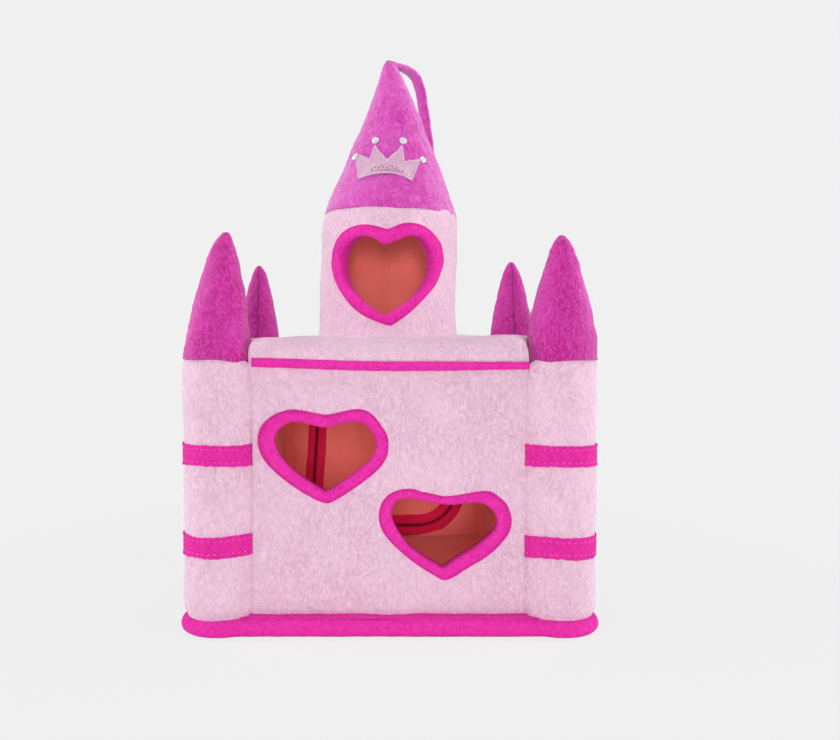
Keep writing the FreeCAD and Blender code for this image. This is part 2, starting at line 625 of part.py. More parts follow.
def make_door():
    """The door's three layers, its binding all round, and the welt that it hangs from."""
    top = f"{HINGE_Z} - welt_radius - welt_play"
    leaf = flap("DoorLeaf", "door_half", "door_corner", DOOR_Z, top)
    core = offset(leaf, "-binding_thick")
    depths = {"door_lining": ("room_half_y", LINED_Y), "door_foam": (LINED_Y, FOAM_Y), "door_plush": (FOAM_Y, OUT_Y)}
    for name, (near, far) in depths.items():
        node(prism(core, near, far), name)
    near, far = "room_half_y - binding_thick", f"{OUT_Y} + binding_thick"
    ring = cut(prism(leaf, near, far), prism(offset(leaf, "-door_band"), f"{near} - seam_gap", f"{far} + seam_gap"))
    node(cut(ring, prism(core, "room_half_y", OUT_Y)), "door_binding")
    node(rod("welt_radius", "x", "door_half", "0", f"{OUT_Y} + binding_thick", HINGE_Z), "door_hinge_welt")


def make_roof():
    """Ceiling lining, stiff board, a crowned cushion notched round the turrets, and piping."""
    clear = [disc("turret_radius + seam_gap", x, y, (WALL_TOP, f"{CREST} + roll_thick"))
             for x, y in CORNERS.values()]
    board = f"{WALL_TOP} + cloth_thick"
    cushion = f"{board} + board_thick"
    over = f"{PIPING_Z} + piping_thick / 2"
    node(cut(slab(OUT_X, OUT_Y, (WALL_TOP, board)), *clear), "roof_lining")
    node(cut(slab(OUT_X, OUT_Y, (board, cushion)), *clear), "roof_board")
    eave = (f"{OUT_X} + roof_eave", f"{OUT_Y} + roof_eave")
    shoulder = (f"{eave[0]} - shoulder_inset_x", f"{eave[1]} - shoulder_inset_y")
    crest = (f"{eave[0]} - crest_inset_x", f"{eave[1]} - crest_inset_y")
    cover = fuse(slab(OUT_X, OUT_Y, (cushion, over)), frustum(eave, shoulder, (over, f"{over} + roof_shoulder_rise")),
                 frustum(shoulder, crest, (f"{over} + roof_shoulder_rise", CREST)))
    node(cut(cover, *clear), "roof_plush")
    stand = "piping_thick / 2 + piping_stand"
    for side, sign, direction in (("front", "-", "x"), ("back", "", "x"), ("left", "-", "y"), ("right", "", "y")):
        place = ("0", f"{sign}({OUT_Y} + {stand})") if direction == "x" else (f"{sign}({OUT_X} + {stand})", "0")
        half = f"{TURRETS[direction]} - turret_radius - seam_gap"
        node(rod("piping_thick / 2", direction, half, *place, PIPING_Z), f"{side}_roof_piping")


def make_turrets():
    """Stuffed columns with cones and two felt bands each, cut away where they meet the room's corner."""
    notch = slab(f"{OUT_X} + seam_gap", f"{OUT_Y} + seam_gap", ("0", WALL_TOP))
    for corner, (x, y) in CORNERS.items():
        column = disc("turret_radius", x, y, ("base_height", TURRET_TOP))
        node(cut(column, notch), f"{corner}_turret_column")
        cone = doc.addObject("Part::Revolution", "Peak")
        cone.Source = peak_outline("PeakOutline", x, y)
        cone.Axis = Vector(0, 0, 1)
        cone.Solid = True
        node(bind(cone, {"Base.x": x, "Base.y": y}), f"{corner}_turret_cone")
        for level in ("upper", "lower"):
            middle = f"base_height + {level}_band_rise"
            z = (f"{middle} - band_height / 2", f"{middle} + band_height / 2")
            ring = cut(disc("turret_radius + band_thick", x, y, z), disc("turret_radius", x, y, z))
            node(cut(ring, notch), f"{corner}_turret_{level}_band")


def make_tower():
    """Tower wall in three layers with a heart window, lined floor and ceiling, and the stuffed cone."""
    z = (CREST, TOWER_TOP)
    depths = ["0", "plush_thick", "plush_thick + tower_foam_thick", "plush_thick + tower_foam_thick + cloth_thick"]
    window = heart("TowerWindow", "tower", "0", f"{CREST} + tower_window_rise")
    front = ("-(tower_foot + roll_thick)", "0")
    hole = prism(offset(window, "binding_thick"), *front)
    shells = [taper(f"tower_foot - ({depth})", f"tower_head - ({depth})", z) for depth in depths]
    for layer, outer, inner in zip(("plush", "foam", "lining"), shells, shells[1:]):
        node(cut(cut(outer, inner), hole), f"tower_{layer}")
    inner_foot, inner_head = f"tower_foot - ({depths[-1]})", f"tower_head - ({depths[-1]})"
    slope = "(tower_foot - tower_head) * cloth_thick / tower_height"
    node(taper(inner_foot, f"{inner_foot} - {slope}", (CREST, f"{CREST} + cloth_thick")), "tower_floor_lining")
    node(taper(f"{inner_head} + {slope}", inner_head, (f"{TOWER_TOP} - cloth_thick", TOWER_TOP)),
         "tower_ceiling_lining")
    skin = [taper(f"tower_foot + {grow}", f"tower_head + {grow}", z)
            for grow in ("binding_thick", f"-({depths[-1]} + binding_thick)")]
    wall = cut(shells[0], shells[-1])
    band = cut(common(prism(offset(window, "tower_band"), *front), cut(*skin)),
               prism(window, f"{front[0]} - seam_gap", "seam_gap"))
    node(cut(band, cut(wall, hole)), "tower_window_binding")

    ball = doc.addObject("Part::Sphere", "Tip")
    bind(ball, {"Radius": "spire_tip", "Placement.Base.z": SPIRE_NECK})
    spire = fuse(taper("tower_head", "spire_tip", (TOWER_TOP, SPIRE_NECK)), ball)
    node(spire, "tower_cone")
    return spire


def make_crown(spire):
    """A mesh crown laid on the cone, satin stitch round it and a stone past each point."""
    front = ("-(tower_foot + roll_thick)", "0")
    z = (TOWER_TOP, SPIRE_NECK)
    shape = crown_outline()
    inside = prism(offset(shape, "-crown_edge"), *front)

    def skin(grow):
        return cut(taper(f"tower_head + {grow}", f"spire_tip + {grow}", z), spire)

    node(common(inside, skin("crown_thick")), "crown_mesh")
    node(cut(common(prism(shape, *front), skin("crown_edge_thick")), inside), "crown_stitching")

    foot, rise = size("tower_head"), size("spire_height - spire_tip")
    fall = (foot - size("spire_tip")) / rise
    lean = atan2(fall, 1)
    stones = []
    for sign in (-1, 1):
        for tip, sideways in (("inner", False), ("outer", True)):
            up = size(f"crown_rise + crown_{tip}_up") + (0 if sideways else size("stone_lift"))
            radius = foot - fall * up
            swing = asin(size(f"crown_{tip}_x") / radius) + (size("stone_lift") / radius if sideways else 0)
            turn = sign * swing + size("crown_x") / radius
            out = Vector(sin(turn), -cos(turn), 0)
            normal = out * cos(lean) + Vector(0, 0, sin(lean))
            stone = doc.addObject("Part::Cone", "Stone")
            seat = Vector(0, 0, size(TOWER_TOP) + up) + out * radius - normal * (size("stone_height") * STONE_SUNK)
            stone.Placement = Placement(seat, Rotation(Vector(0, 0, 1), normal))
            stones.append(bind(stone, {"Radius1": "stone_radius", "Radius2": "stone_radius / 2",
                                       "Height": "stone_height"}))
    node(cut(group(*stones), spire), "crown_stones")


def make_loop(spire):
    """A flat strap that leaves the cone's tip, bows out and comes back to the cone's foot."""
    side = offset(loop_path(), "loop_thick / 2")
    side.Mode = "Pipe"
    strap = doc.addObject("Part::Extrusion", "Strap")
    strap.Base = side
    strap.DirMode = "Normal"
    strap.Solid = True
    strap.FaceMakerClass = "Part::FaceMakerBullseye"
    bind(strap, {"LengthFwd": "loop_width / 2", "LengthRev": "loop_width / 2"})
    node(cut(strap, spire), "carry_loop")


make_base()
make_walls()
make_door()
make_roof()
make_turrets()
cone = make_tower()
make_crown(cone)
make_loop(cone)
doc.recompute()

faults = [thing.Name for thing in doc.Objects if {"Invalid", "Error"} & set(thing.State)]
for piece in nodes:
    shape = piece.Shape
    if shape.isNull() or not shape.isValid() or not shape.Solids:
        faults.append(piece.Label)
if faults:
    raise RuntimeError(f"these objects failed: {faults}")
os.makedirs("parts", exist_ok=True)
for piece in nodes:
    solids = piece.Shape.Solids
    whole = solids[0] if len(solids) == 1 else Part.makeCompound(solids)
    whole.exportStep(f"parts/{piece.Label}.step")
    print(f"{piece.Label}: {len(solids)} solid(s), {whole.Volume / 1000:.2f} cm3")
print(f"{len(nodes)} nodes")
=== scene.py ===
from math import cos, pi, radians, sin

import bpy
import numpy as np
from bpy.props import FloatProperty, FloatVectorProperty, PointerProperty
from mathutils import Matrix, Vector


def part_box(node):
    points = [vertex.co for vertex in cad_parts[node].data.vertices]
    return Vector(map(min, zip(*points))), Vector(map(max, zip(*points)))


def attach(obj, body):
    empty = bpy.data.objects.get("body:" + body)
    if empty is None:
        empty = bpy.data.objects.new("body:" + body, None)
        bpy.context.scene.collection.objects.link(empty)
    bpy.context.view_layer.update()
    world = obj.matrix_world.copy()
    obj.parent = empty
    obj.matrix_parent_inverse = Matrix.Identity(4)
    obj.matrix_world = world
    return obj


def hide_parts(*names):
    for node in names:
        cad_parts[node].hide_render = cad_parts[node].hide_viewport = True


bl_info = {
    "name": "Plush Toy Castle",
    "version": (1, 0, 0),
    "blender": (4, 5, 0),
    "location": "3D View > Sidebar > Castle",
    "description": "Sews the plush skins, bindings and trimmings of a stuffed toy castle",
    "category": "Add Mesh",
}

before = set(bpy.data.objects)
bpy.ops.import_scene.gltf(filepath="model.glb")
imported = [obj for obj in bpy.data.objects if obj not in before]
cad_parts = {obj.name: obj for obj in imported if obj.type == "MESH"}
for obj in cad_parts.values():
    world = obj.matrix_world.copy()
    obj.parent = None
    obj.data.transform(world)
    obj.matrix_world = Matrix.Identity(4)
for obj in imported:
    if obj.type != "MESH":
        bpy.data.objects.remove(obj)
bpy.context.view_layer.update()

MM = 0.001
SIDES = ("front", "back", "left", "right")
CORNERS = {
    "front_left": (-1, -1), "front_right": (1, -1), "rear_left": (-1, 1), "rear_right": (1, 1),
}
# Outer faces of the walls and of their linings, from the middle, and heights: the walls' foot,
# the room's floor, the walls' top and the foot of the roof
WALL_OUT = {"front": 95.0, "back": 95.0, "left": 82.2, "right": 82.2}
ROOM_OUT = {"front": 86.0, "back": 86.0, "left": 73.2, "right": 73.2}
HEM, FLOOR_TOP, WALL_TOP, ROOF_FOOT = 9.6, 12.2, 138.0, 141.8
# How far a wall's skin is drawn in where a turret is sewn to it
CREASE = 0.7
TURRET_X, TURRET_Y, TURRET_RADIUS, TURRET_TOP = 91.7, 84.7, 18.6, 145.0
# Windows of the front wall: x and height of points on the opening's edge and on the binding's edge
LEFT_OPENING = [
    (-60.7, 103.6), (-59.9, 106.5), (-57.7, 109.4), (-54.3, 111.8), (-50.5, 112.8), (-46.6, 112.5),
    (-41.8, 111.4), (-35.0, 109.9), (-29.2, 110.9), (-23.4, 112.4), (-18.5, 112.9), (-14.7, 112.4),
    (-11.3, 109.9), (-8.9, 106.5), (-7.7, 102.2), (-8.1, 97.3), (-10.8, 92.9), (-15.2, 89.0),
    (-21.5, 84.2), (-27.3, 80.0), (-32.1, 76.8), (-34.4, 76.4), (-37.5, 78.1), (-42.3, 81.2),
    (-49.6, 86.3), (-54.4, 91.0), (-57.8, 95.4), (-59.9, 99.7),
]
LEFT_BORDER = [
    (-69.4, 102.6), (-68.6, 108.0), (-66.2, 112.4), (-61.6, 116.5), (-56.2, 118.9), (-51.4, 119.6),
    (-46.6, 119.0), (-40.8, 117.7), (-34.0, 116.6), (-28.2, 117.7), (-22.4, 119.2), (-17.6, 119.9),
    (-12.7, 118.9), (-8.4, 115.7), (-4.5, 110.4), (-1.6, 105.6), (-0.8, 99.7), (-1.6, 94.4),
    (-5.9, 88.3), (-12.7, 82.7), (-19.5, 77.6), (-26.3, 72.9), (-32.1, 70.0), (-37.0, 71.0),
    (-43.8, 74.7), (-51.5, 79.5), (-59.3, 85.1), (-65.1, 91.0), (-68.2, 96.8),
]
RIGHT_OPENING = [
    (0.8, 64.8), (1.7, 68.8), (3.9, 71.6), (7.5, 72.7), (11.5, 72.6), (15.5, 71.9), (20.5, 70.7),
    (25.5, 69.8), (30.6, 69.2), (35.6, 69.5), (40.6, 70.1), (45.1, 70.4), (49.6, 69.3), (53.2, 66.8),
    (55.4, 63.8), (56.3, 60.2), (55.5, 56.7), (52.7, 53.1), (48.7, 49.6), (43.7, 45.8), (37.7, 42.3),
    (32.7, 39.0), (29.1, 36.2), (26.9, 36.0), (24.1, 37.9), (17.6, 41.7), (11.0, 46.6), (6.5, 51.9),
    (3.5, 56.7), (1.4, 61.2),
]
RIGHT_BORDER = [
    (-5.8, 62.8), (-5.3, 67.8), (-3.6, 71.9), (-0.1, 75.4), (4.4, 77.3), (7.9, 77.8), (12.5, 77.5),
    (16.5, 76.1), (21.5, 75.1), (27.5, 73.9), (33.5, 74.4), (38.6, 75.3), (43.6, 76.1), (48.6, 76.5),
    (52.6, 76.0), (56.6, 73.6), (60.2, 70.6), (62.7, 66.8), (64.1, 62.3), (64.0, 57.7), (62.0, 53.1),
    (58.3, 48.6), (53.8, 44.3), (48.8, 40.5), (42.7, 36.7), (37.7, 33.6), (33.2, 30.8), (29.7, 29.6),
    (26.6, 30.1), (21.6, 33.1), (14.5, 37.2), (8.0, 42.0), (2.5, 47.1), (-2.1, 52.6), (-4.8, 57.7),
]
TOWER_OPENING = [
    (-28.6, 202.5), (-27.9, 207.0), (-25.8, 210.8), (-21.9, 214.4), (-17.0, 216.1), (-12.3, 216.2),
    (-7.5, 214.4), (-4.0, 212.1), (-1.3, 211.5), (2.4, 212.7), (6.6, 214.3), (10.8, 216.0),
    (16.1, 216.4), (20.4, 214.8), (23.7, 211.0), (26.0, 206.1), (26.9, 201.1), (26.3, 196.0),
    (23.5, 190.3), (18.7, 184.6), (12.6, 179.5), (6.7, 175.5), (1.4, 172.2), (-1.6, 170.9),
    (-4.0, 171.3), (-9.9, 175.0), (-15.8, 179.5), (-20.6, 184.1), (-24.8, 188.7), (-26.7, 192.8),
    (-28.2, 197.9),
]
TOWER_BORDER = [
    (-33.6, 203.1), (-33.2, 207.7), (-31.6, 212.6), (-28.7, 217.4), (-24.0, 221.2), (-18.9, 223.1),
    (-13.8, 223.6), (-8.8, 222.9), (-4.3, 221.4), (-0.4, 220.3), (3.4, 221.5), (7.9, 223.2),
    (13.0, 223.9), (18.1, 223.6), (23.3, 221.4), (28.0, 217.6), (31.4, 212.9), (32.6, 207.4),
    (32.9, 202.3), (31.1, 195.9), (28.1, 188.9), (23.4, 182.8), (17.6, 176.7), (11.9, 171.6),
    (6.3, 167.2), (1.8, 164.1), (-1.5, 164.4), (-7.1, 166.6), (-13.8, 170.0), (-19.4, 174.0),
    (-24.6, 179.2), (-28.7, 185.0), (-31.9, 192.1), (-33.2, 197.3),
]
# The crown's edge as x and height on the cone, and its stones
CROWN_EDGE = [
    (-17.1, 251.6), (-17.7, 257.5), (-18.2, 263.0), (-18.0, 268.6), (-16.9, 264.0), (-13.6, 263.1),
    (-10.6, 262.0), (-9.2, 266.5), (-7.6, 271.8), (-5.4, 267.6), (-3.0, 264.8), (-0.6, 261.6),
    (2.2, 264.6), (5.6, 267.3), (8.1, 271.2), (8.7, 265.5), (9.4, 260.3), (12.6, 261.6),
    (18.6, 262.9), (15.8, 255.8), (13.5, 249.8), (8.8, 252.3), (3.4, 253.9), (-1.9, 254.3),
    (-7.7, 253.9), (-12.7, 252.8),
]
# Sequins near the crown's foot: the first list drawn bright with a painted glint, the second dark
GLINTING_SEQUINS = [
    (-7.5, 260.1), (-8.6, 258.9), (-10.2, 257.7), (-12.5, 257.2), (-13.8, 255.7), (-14.8, 253.8),
    (-11.5, 255.7), (6.6, 258.3), (7.4, 257.1), (11.6, 256.7), (10.1, 255.9), (12.6, 255.2),
    (11.2, 254.4), (11.9, 252.7), (10.3, 257.3),
]
DARK_SEQUINS = [
    (-7.5, 257.5), (-5.2, 257.5), (-3.6, 258.7), (-2.6, 257.3), (-0.3, 257.0), (1.2, 258.5),
    (2.4, 257.1), (4.8, 256.7), (5.9, 255.3), (3.6, 255.4), (-1.5, 255.9), (-9.2, 256.0),
    (8.4, 254.8), (-5.9, 256.2), (-3.8, 255.8), (0.5, 255.7),
]
STONES = [(-19.6, 266.8), (-7.5, 275.6), (9.1, 275.2), (20.9, 263.9)]


def screen(red, green, blue):
    """A colour as a screen shows it, 0 to 255, in the linear values that shaders take."""
    value = np.array([red, green, blue]) / 255
    return tuple(np.where(value <= 0.04045, value / 12.92, ((value + 0.055) / 1.055) ** 2.4).tolist())


def length(label, about, default, low=0.0, high=100.0):
    """A size in millimetres, kept as a length in metres."""
    return FloatProperty(
        name=label, description=about, default=default * MM, min=low * MM, max=high * MM,
        unit="LENGTH", precision=5,
    )


def tint(label, about, red, green, blue):
    return FloatVectorProperty(
        name=label, description=about, default=screen(red, green, blue), size=3, subtype="COLOR",
        min=0.0, max=1.0,
    )


class CastleSizes(bpy.types.PropertyGroup):
    wall_puff: length("Wall Puff", "How far a wall's skin swells past its edges", 1.7, 0, 4)
    turret_puff: length("Turret Puff", "How far a turret swells between its bands", 0.5, 0, 2)
    roof_rise: length("Roof Rise", "Top of the roof cushion above its edge", 13.2, 5, 16)
    band_height: length("Band Height", "Height of a felt band", 11.4, 6, 16)
    band_thick: length("Band Thickness", "Felt of a band, off the turret", 1.1, 0.5, 2)
    stitch_pitch: length("Stitch Pitch", "From one running stitch to the next", 3.1, 2, 6)
    overcast_pitch: length("Overcast Pitch", "From one overcast stitch to the next", 2.3, 1, 6)
    piping_thick: length("Piping Thickness", "Diameter of the piping under the roof", 5.0, 3, 6)
    lean: length("Cone Lean", "How far the front left cone's tip leans inwards", 4.3, 0, 6)
    stone: length("Stone", "Diameter of a stone on the crown", 4.9, 3, 7)


class CastleColours(bpy.types.PropertyGroup):
    pale: tint("Pale Plush", "Walls, turrets and tower", 221, 184, 206)
    pale_tip: tint("Pale Pile Tips", "Lighter ends of the pale plush", 233, 204, 222)
    rose: tint("Rose Plush", "Cones of the turrets", 190, 37, 142)
    rose_tip: tint("Rose Pile Tips", "Lighter ends of the rose plush", 214, 76, 178)
    orchid: tint("Orchid Plush", "Cone of the tower and the carry loop", 203, 56, 168)
    orchid_tip: tint("Orchid Pile Tips", "Lighter ends of the orchid plush", 222, 106, 200)
    fleece: tint("Fleece", "Bindings, piping and base roll", 217, 38, 158)
    # Painted shade and coral light from the room's lining, laid as a red colour on the room-facing side of
    # the door's and doorway's bindings
    red: tint("Room Shade Red", "Inner side of the bindings of the door and its doorway", 196, 22, 56)
    felt: tint("Felt", "Bands round the turrets", 212, 32, 150)
    thread: tint("Thread", "Running stitches on the bands", 250, 84, 190)
    lining: tint("Lining", "Inside of the room and of the tower", 224, 112, 103)
    net: tint("Crown Net", "Mesh of the crown", 208, 164, 192)
    satin: tint("Satin", "Satin stitch round the crown", 255, 208, 244)
    board: tint("Board", "Stiff board in base and roof", 172, 150, 120)
    floor: tint("Background", "Floor and backdrop", 240, 240, 240)


# Shapes


def cells(rows, columns, around=False, closed=False):
    """Four-cornered faces between neighbours of a grid of points that are numbered row by row."""
    row = np.arange(rows if closed else rows - 1)[:, None] * columns
    above = (row + columns) % (rows * columns)
    column = np.arange(columns if around else columns - 1)[None]
    beside = (column + 1) % columns
    return np.stack([row + column, row + beside, above + beside, above + column], -1).reshape(-1, 4)


def bag(grid, start=None, end=None):
    """Rings of points closed at both ends: each end ring fans to one point in its middle."""
    rows, columns = grid.shape[:2]
    start = grid[0].mean(0) if start is None else np.array(start, float)
    end = grid[-1].mean(0) if end is None else np.array(end, float)
    first = np.arange(columns)
    second = np.roll(first, -1)
    pole = np.full(columns, rows * columns)
    last = (rows - 1) * columns
    fans = np.vstack([
        np.stack([second, first, pole], 1),
        np.stack([first + last, second + last, pole + 1], 1),
    ])
    return np.vstack([grid.reshape(-1, 3), start, end]), [cells(rows, columns, around=True), fans]


def ring(grid):
    """Rings of points that follow a closed path, so the last ring joins the first."""
    return grid.reshape(-1, 3), [cells(*grid.shape[:2], around=True, closed=True)]


def shell(front, back, quads):
    """A sheet with a face, a back and a rim: an edge that only one face has gets a rim face."""
    count = len(front)
    start, end = quads.ravel(), np.roll(quads, -1, 1).ravel()
    free = ~np.isin(end * count + start, start * count + end)
    start, end = start[free], end[free]
    rim = np.stack([end, start, start + count, end + count], 1)
    return np.vstack([front, back]), [np.vstack([quads, quads[:, ::-1] + count, rim])]


def joined(shapes):
    """Several shapes as one: the faces of each count on from the points before it."""
    starts = np.cumsum([0] + [len(points) for points, faces in shapes])
    return (
        np.vstack([points for points, faces in shapes]),
        [face + start for start, (points, faces) in zip(starts, shapes) for face in faces],
    )


def volume(points, faces):
    """Six times the volume: the sum over triangles of the triple product of their corners."""
    total = 0.0
    for face in faces:
        for k in range(1, face.shape[1] - 1):
            a, b, c = points[face[:, 0]], points[face[:, k]], points[face[:, k + 1]]
            total += np.einsum("ij,ij->", a, np.cross(b, c))
    return total


def sew(name, body, finish, shape, stands_for=(), marks=None, sharp=50):
    """Makes a piece of a shape in millimetres, with its faces outwards, and puts it on its body.

    Points that no face uses are left out. Marks are numbers at the points for its material.
    """
    points, faces = shape
    if volume(points, faces) < 0:
        faces = [face[:, ::-1] for face in faces]
    corners = np.concatenate([face.ravel() for face in faces])
    used, corners = np.unique(corners, return_inverse=True)
    sizes = np.concatenate([np.full(len(face), face.shape[1]) for face in faces])
    mesh = bpy.data.meshes.new(name)
    mesh.vertices.add(len(used))
    mesh.vertices.foreach_set("co", (points[used] * MM).ravel())
    mesh.loops.add(len(corners))
    mesh.loops.foreach_set("vertex_index", corners.ravel())
    mesh.polygons.add(len(sizes))
    mesh.polygons.foreach_set("loop_start", np.concatenate([[0], np.cumsum(sizes)[:-1]]))
    mesh.update(calc_edges=True)
    mesh.shade_smooth()
    mesh.set_sharp_from_angle(angle=radians(sharp))
    for mark, values in (marks or {}).items():
        attribute = mesh.attributes.new(mark, "FLOAT", "POINT")
        attribute.data.foreach_set("value", np.asarray(values, float).ravel()[used])
    mesh.materials.append(material(finish))
    piece = bpy.data.objects.new(name, mesh)
    bpy.context.scene.collection.objects.link(piece)
    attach(piece, body)
    if stands_for:
        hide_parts(*stands_for)
    return piece


def waves(points, size, seed, count=14):
    """Soft unevenness, about -1 to 1: a sum of sine waves, wavelengths near size, in set directions."""
    draw = np.random.default_rng(seed)
    points = np.asarray(points, float)
    way = draw.normal(size=(count, points.shape[-1]))
    way /= np.linalg.norm(way, axis=1)[:, None]
    way *= (2 * pi / (size * draw.uniform(0.6, 1.6, count)))[:, None]
    return np.sin(points @ way.T + draw.uniform(0, 2 * pi, count)).sum(-1) / np.sqrt(count)


def hump(x, middle, width):
    """A bell: one at the middle and near nothing two widths away."""
    return np.exp(-(((x - middle) / width) ** 2))


def ease(x, low, high):
    """Nothing below low, one above high, and a smooth step between."""
    t = np.clip((x - low) / (high - low), 0, 1)
    return t * t * (3 - 2 * t)


def around(start, end, count, centre=(0, 0), radius=1.0):
    """Points on an arc in the plan, angles in radians."""
    angle = np.linspace(start, end, count)
    return np.stack([centre[0] + radius * np.cos(angle), centre[1] + radius * np.sin(angle)], 1)


def through(points, spans=10):
    """A smooth closed curve through points: each span is the cubic of four neighbours."""
    here = np.array(points, float)
    a, b, c, d = (np.roll(here, k, 0)[:, None] for k in (1, 0, -1, -2))
    t = (np.arange(spans) / spans)[None, :, None]
    curve = (
        b + (c - a) * t / 2 + (2 * a - 5 * b + 4 * c - d) * t**2 / 2
        + (3 * b - 3 * c + d - a) * t**3 / 2
    )
    return curve.reshape(-1, here.shape[1])


def even(path, count, closed=True):
    """The path again with points at even steps of its length."""
    line = np.vstack([path, path[:1]]) if closed else np.asarray(path, float)
    far = np.concatenate([[0], np.cumsum(np.linalg.norm(np.diff(line, axis=0), axis=1))])
    at = np.linspace(0, far[-1], count, endpoint=not closed)
    return np.stack([np.interp(at, far, line[:, k]) for k in range(line.shape[1])], 1)


def run(path):
    """Length along a path at each of its points."""
    return np.concatenate([[0], np.cumsum(np.linalg.norm(np.diff(path, axis=0), axis=1))])


def ahead(path, closed=True):
    """Unit direction at each point: from the point before to the point after."""
    if closed:
        step = np.roll(path, -1, 0) - np.roll(path, 1, 0)
    else:
        step = np.gradient(path, axis=0)
    return step / np.linalg.norm(step, axis=1)[:, None]


def soften(path, times):
    """Rounds an open path: each point moves to the mean of its neighbours, again and again."""
    path = np.array(path, float)
    for _ in range(times):
        path[1:-1] = (path[:-2] + 2 * path[1:-1] + path[2:]) / 4
    return path


def beside(path):
    """Outward unit normals of a closed curve that runs round anticlockwise, or inward ones."""
    way = ahead(path)
    return np.stack([way[:, 1], -way[:, 0]], 1)


def reach(outline, centre, angle):
    """Distance from the centre to a closed curve in the direction of the angle."""
    x, y = (outline - centre).T
    turn = np.arctan2(y, x)
    order = np.argsort(turn)
    return np.interp(angle, turn[order], np.hypot(x, y)[order], period=2 * pi)


def inside(outline, across, up, grow=0.0):
    """Whether a point lies in a closed curve, grown by a margin, as seen from its middle."""
    centre = outline.mean(0)
    x, y = across - centre[0], up - centre[1]
    return np.hypot(x, y) < reach(outline, centre, np.arctan2(y, x)) + grow


def carried(path, side, up, profile):
    """A profile carried along a path: its first number goes sideways and its second up."""
    profile = np.asarray(profile, float)
    if profile.ndim == 2:
        profile = profile[None]
    return path[:, None] + side[:, None] * profile[..., :1] + up[:, None] * profile[..., 1:]


def oval(wide, high, count):
    """A round profile, half width and half height."""
    turn = np.arange(count) * 2 * pi / count
    return np.stack([wide * np.cos(turn), high * np.sin(turn)], 1)


def pad(outline, top, bottom, rings=24, rim=5, centre=None):
    """A closed cushion on a flat outline. Rings shrink from the outline to its middle, above by
    top(points, share) and below by bottom(points, share), where share is 1 at the outline. The
    rim between them is half an oval."""
    middle = outline.mean(0) if centre is None else np.array(centre, float)
    share = np.linspace(0, 1, rings + 1)[1:]
    plan = middle + share[:, None, None] * (outline - middle)
    s = share[:, None] * np.ones(len(outline))
    high, low = top(plan, s), bottom(plan, s)
    turn = np.linspace(-pi / 2, pi / 2, rim + 2)[1:-1, None]
    half = (high[-1] - low[-1]) / 2
    bulge = half * np.cos(turn)
    edge = outline - middle
    edge = edge / np.linalg.norm(edge, axis=1)[:, None]
    rim_plan = outline + edge * bulge[..., None]
    rim_z = (high[-1] + low[-1]) / 2 + half * np.sin(turn)
    grid = np.concatenate([
        np.dstack([plan, low]), np.dstack([rim_plan, rim_z]), np.dstack([plan, high])[::-1],
    ])
    one = np.array([[middle]]), np.zeros((1, 1))
    return bag(grid, [*middle, bottom(*one)[0, 0]], [*middle, top(*one)[0, 0]])


def flat(value):
    return lambda plan, share: np.full(share.shape, float(value))


def copies(places, along, out, template):
    """One small shape at many places, its own x along, y across and z outwards."""
    across = np.cross(out, along)
    points, faces = template
    spots = (
        places[:, None] + along[:, None] * points[None, :, :1]
        + across[:, None] * points[None, :, 1:2] + out[:, None] * points[None, :, 2:]
    )
    start = np.arange(len(places))[:, None, None] * len(points)
    return spots.reshape(-1, 3), [(start + face).reshape(-1, face.shape[1]) for face in faces]


def dash(long, wide, high):
    """A small stitch: an egg along x with six sides."""
    ends = np.linspace(-1, 1, 6)[1:-1]
    round_off = np.sqrt(1 - ends**4)
    turn = np.arange(6) * pi / 3
    grid = np.stack([
        (ends * long / 2)[:, None] * np.ones(6),
        round_off[:, None] * np.cos(turn) * wide / 2,
        round_off[:, None] * np.sin(turn) * high / 2,
    ], -1)
    return bag(grid, [-long / 2, 0, 0], [long / 2, 0, 0])


def stand(side, across, up, out):
    """A point of a wall in the castle: across runs to the right as seen from outside."""
    x, y = {
        "front": (across, -out), "back": (-across, out), "right": (out, across), "left": (-out, -across),
    }[side]
    return np.stack(np.broadcast_arrays(x, y, up), -1)


def limits(node):
    """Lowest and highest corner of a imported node, in millimetres."""
    return [np.array(corner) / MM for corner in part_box(node)]


# Finishes


class Value:
    """A number in a shader. Sums and products with it add the Math nodes that work them out."""

    def __init__(self, maker, socket):
        self.maker, self.socket = maker, socket

    def _with(self, operation, *others):
        return self.maker.add("ShaderNodeMath", {"operation": operation}, dict(enumerate(others)))

    def __add__(self, other): return self._with("ADD", self, other)
    def __radd__(self, other): return self._with("ADD", other, self)
    def __sub__(self, other): return self._with("SUBTRACT", self, other)
    def __rsub__(self, other): return self._with("SUBTRACT", other, self)
    def __mul__(self, other): return self._with("MULTIPLY", self, other)
    def __rmul__(self, other): return self._with("MULTIPLY", other, self)
    def __pow__(self, other): return self._with("POWER", self, other)

    def step(self, low, high):
        """Nothing below low, one above high, and a smooth step between."""
        return self.maker.add(
            "ShaderNodeMapRange", {"interpolation_type": "SMOOTHSTEP"},
            {"Value": self, "From Min": low, "From Max": high},
        )


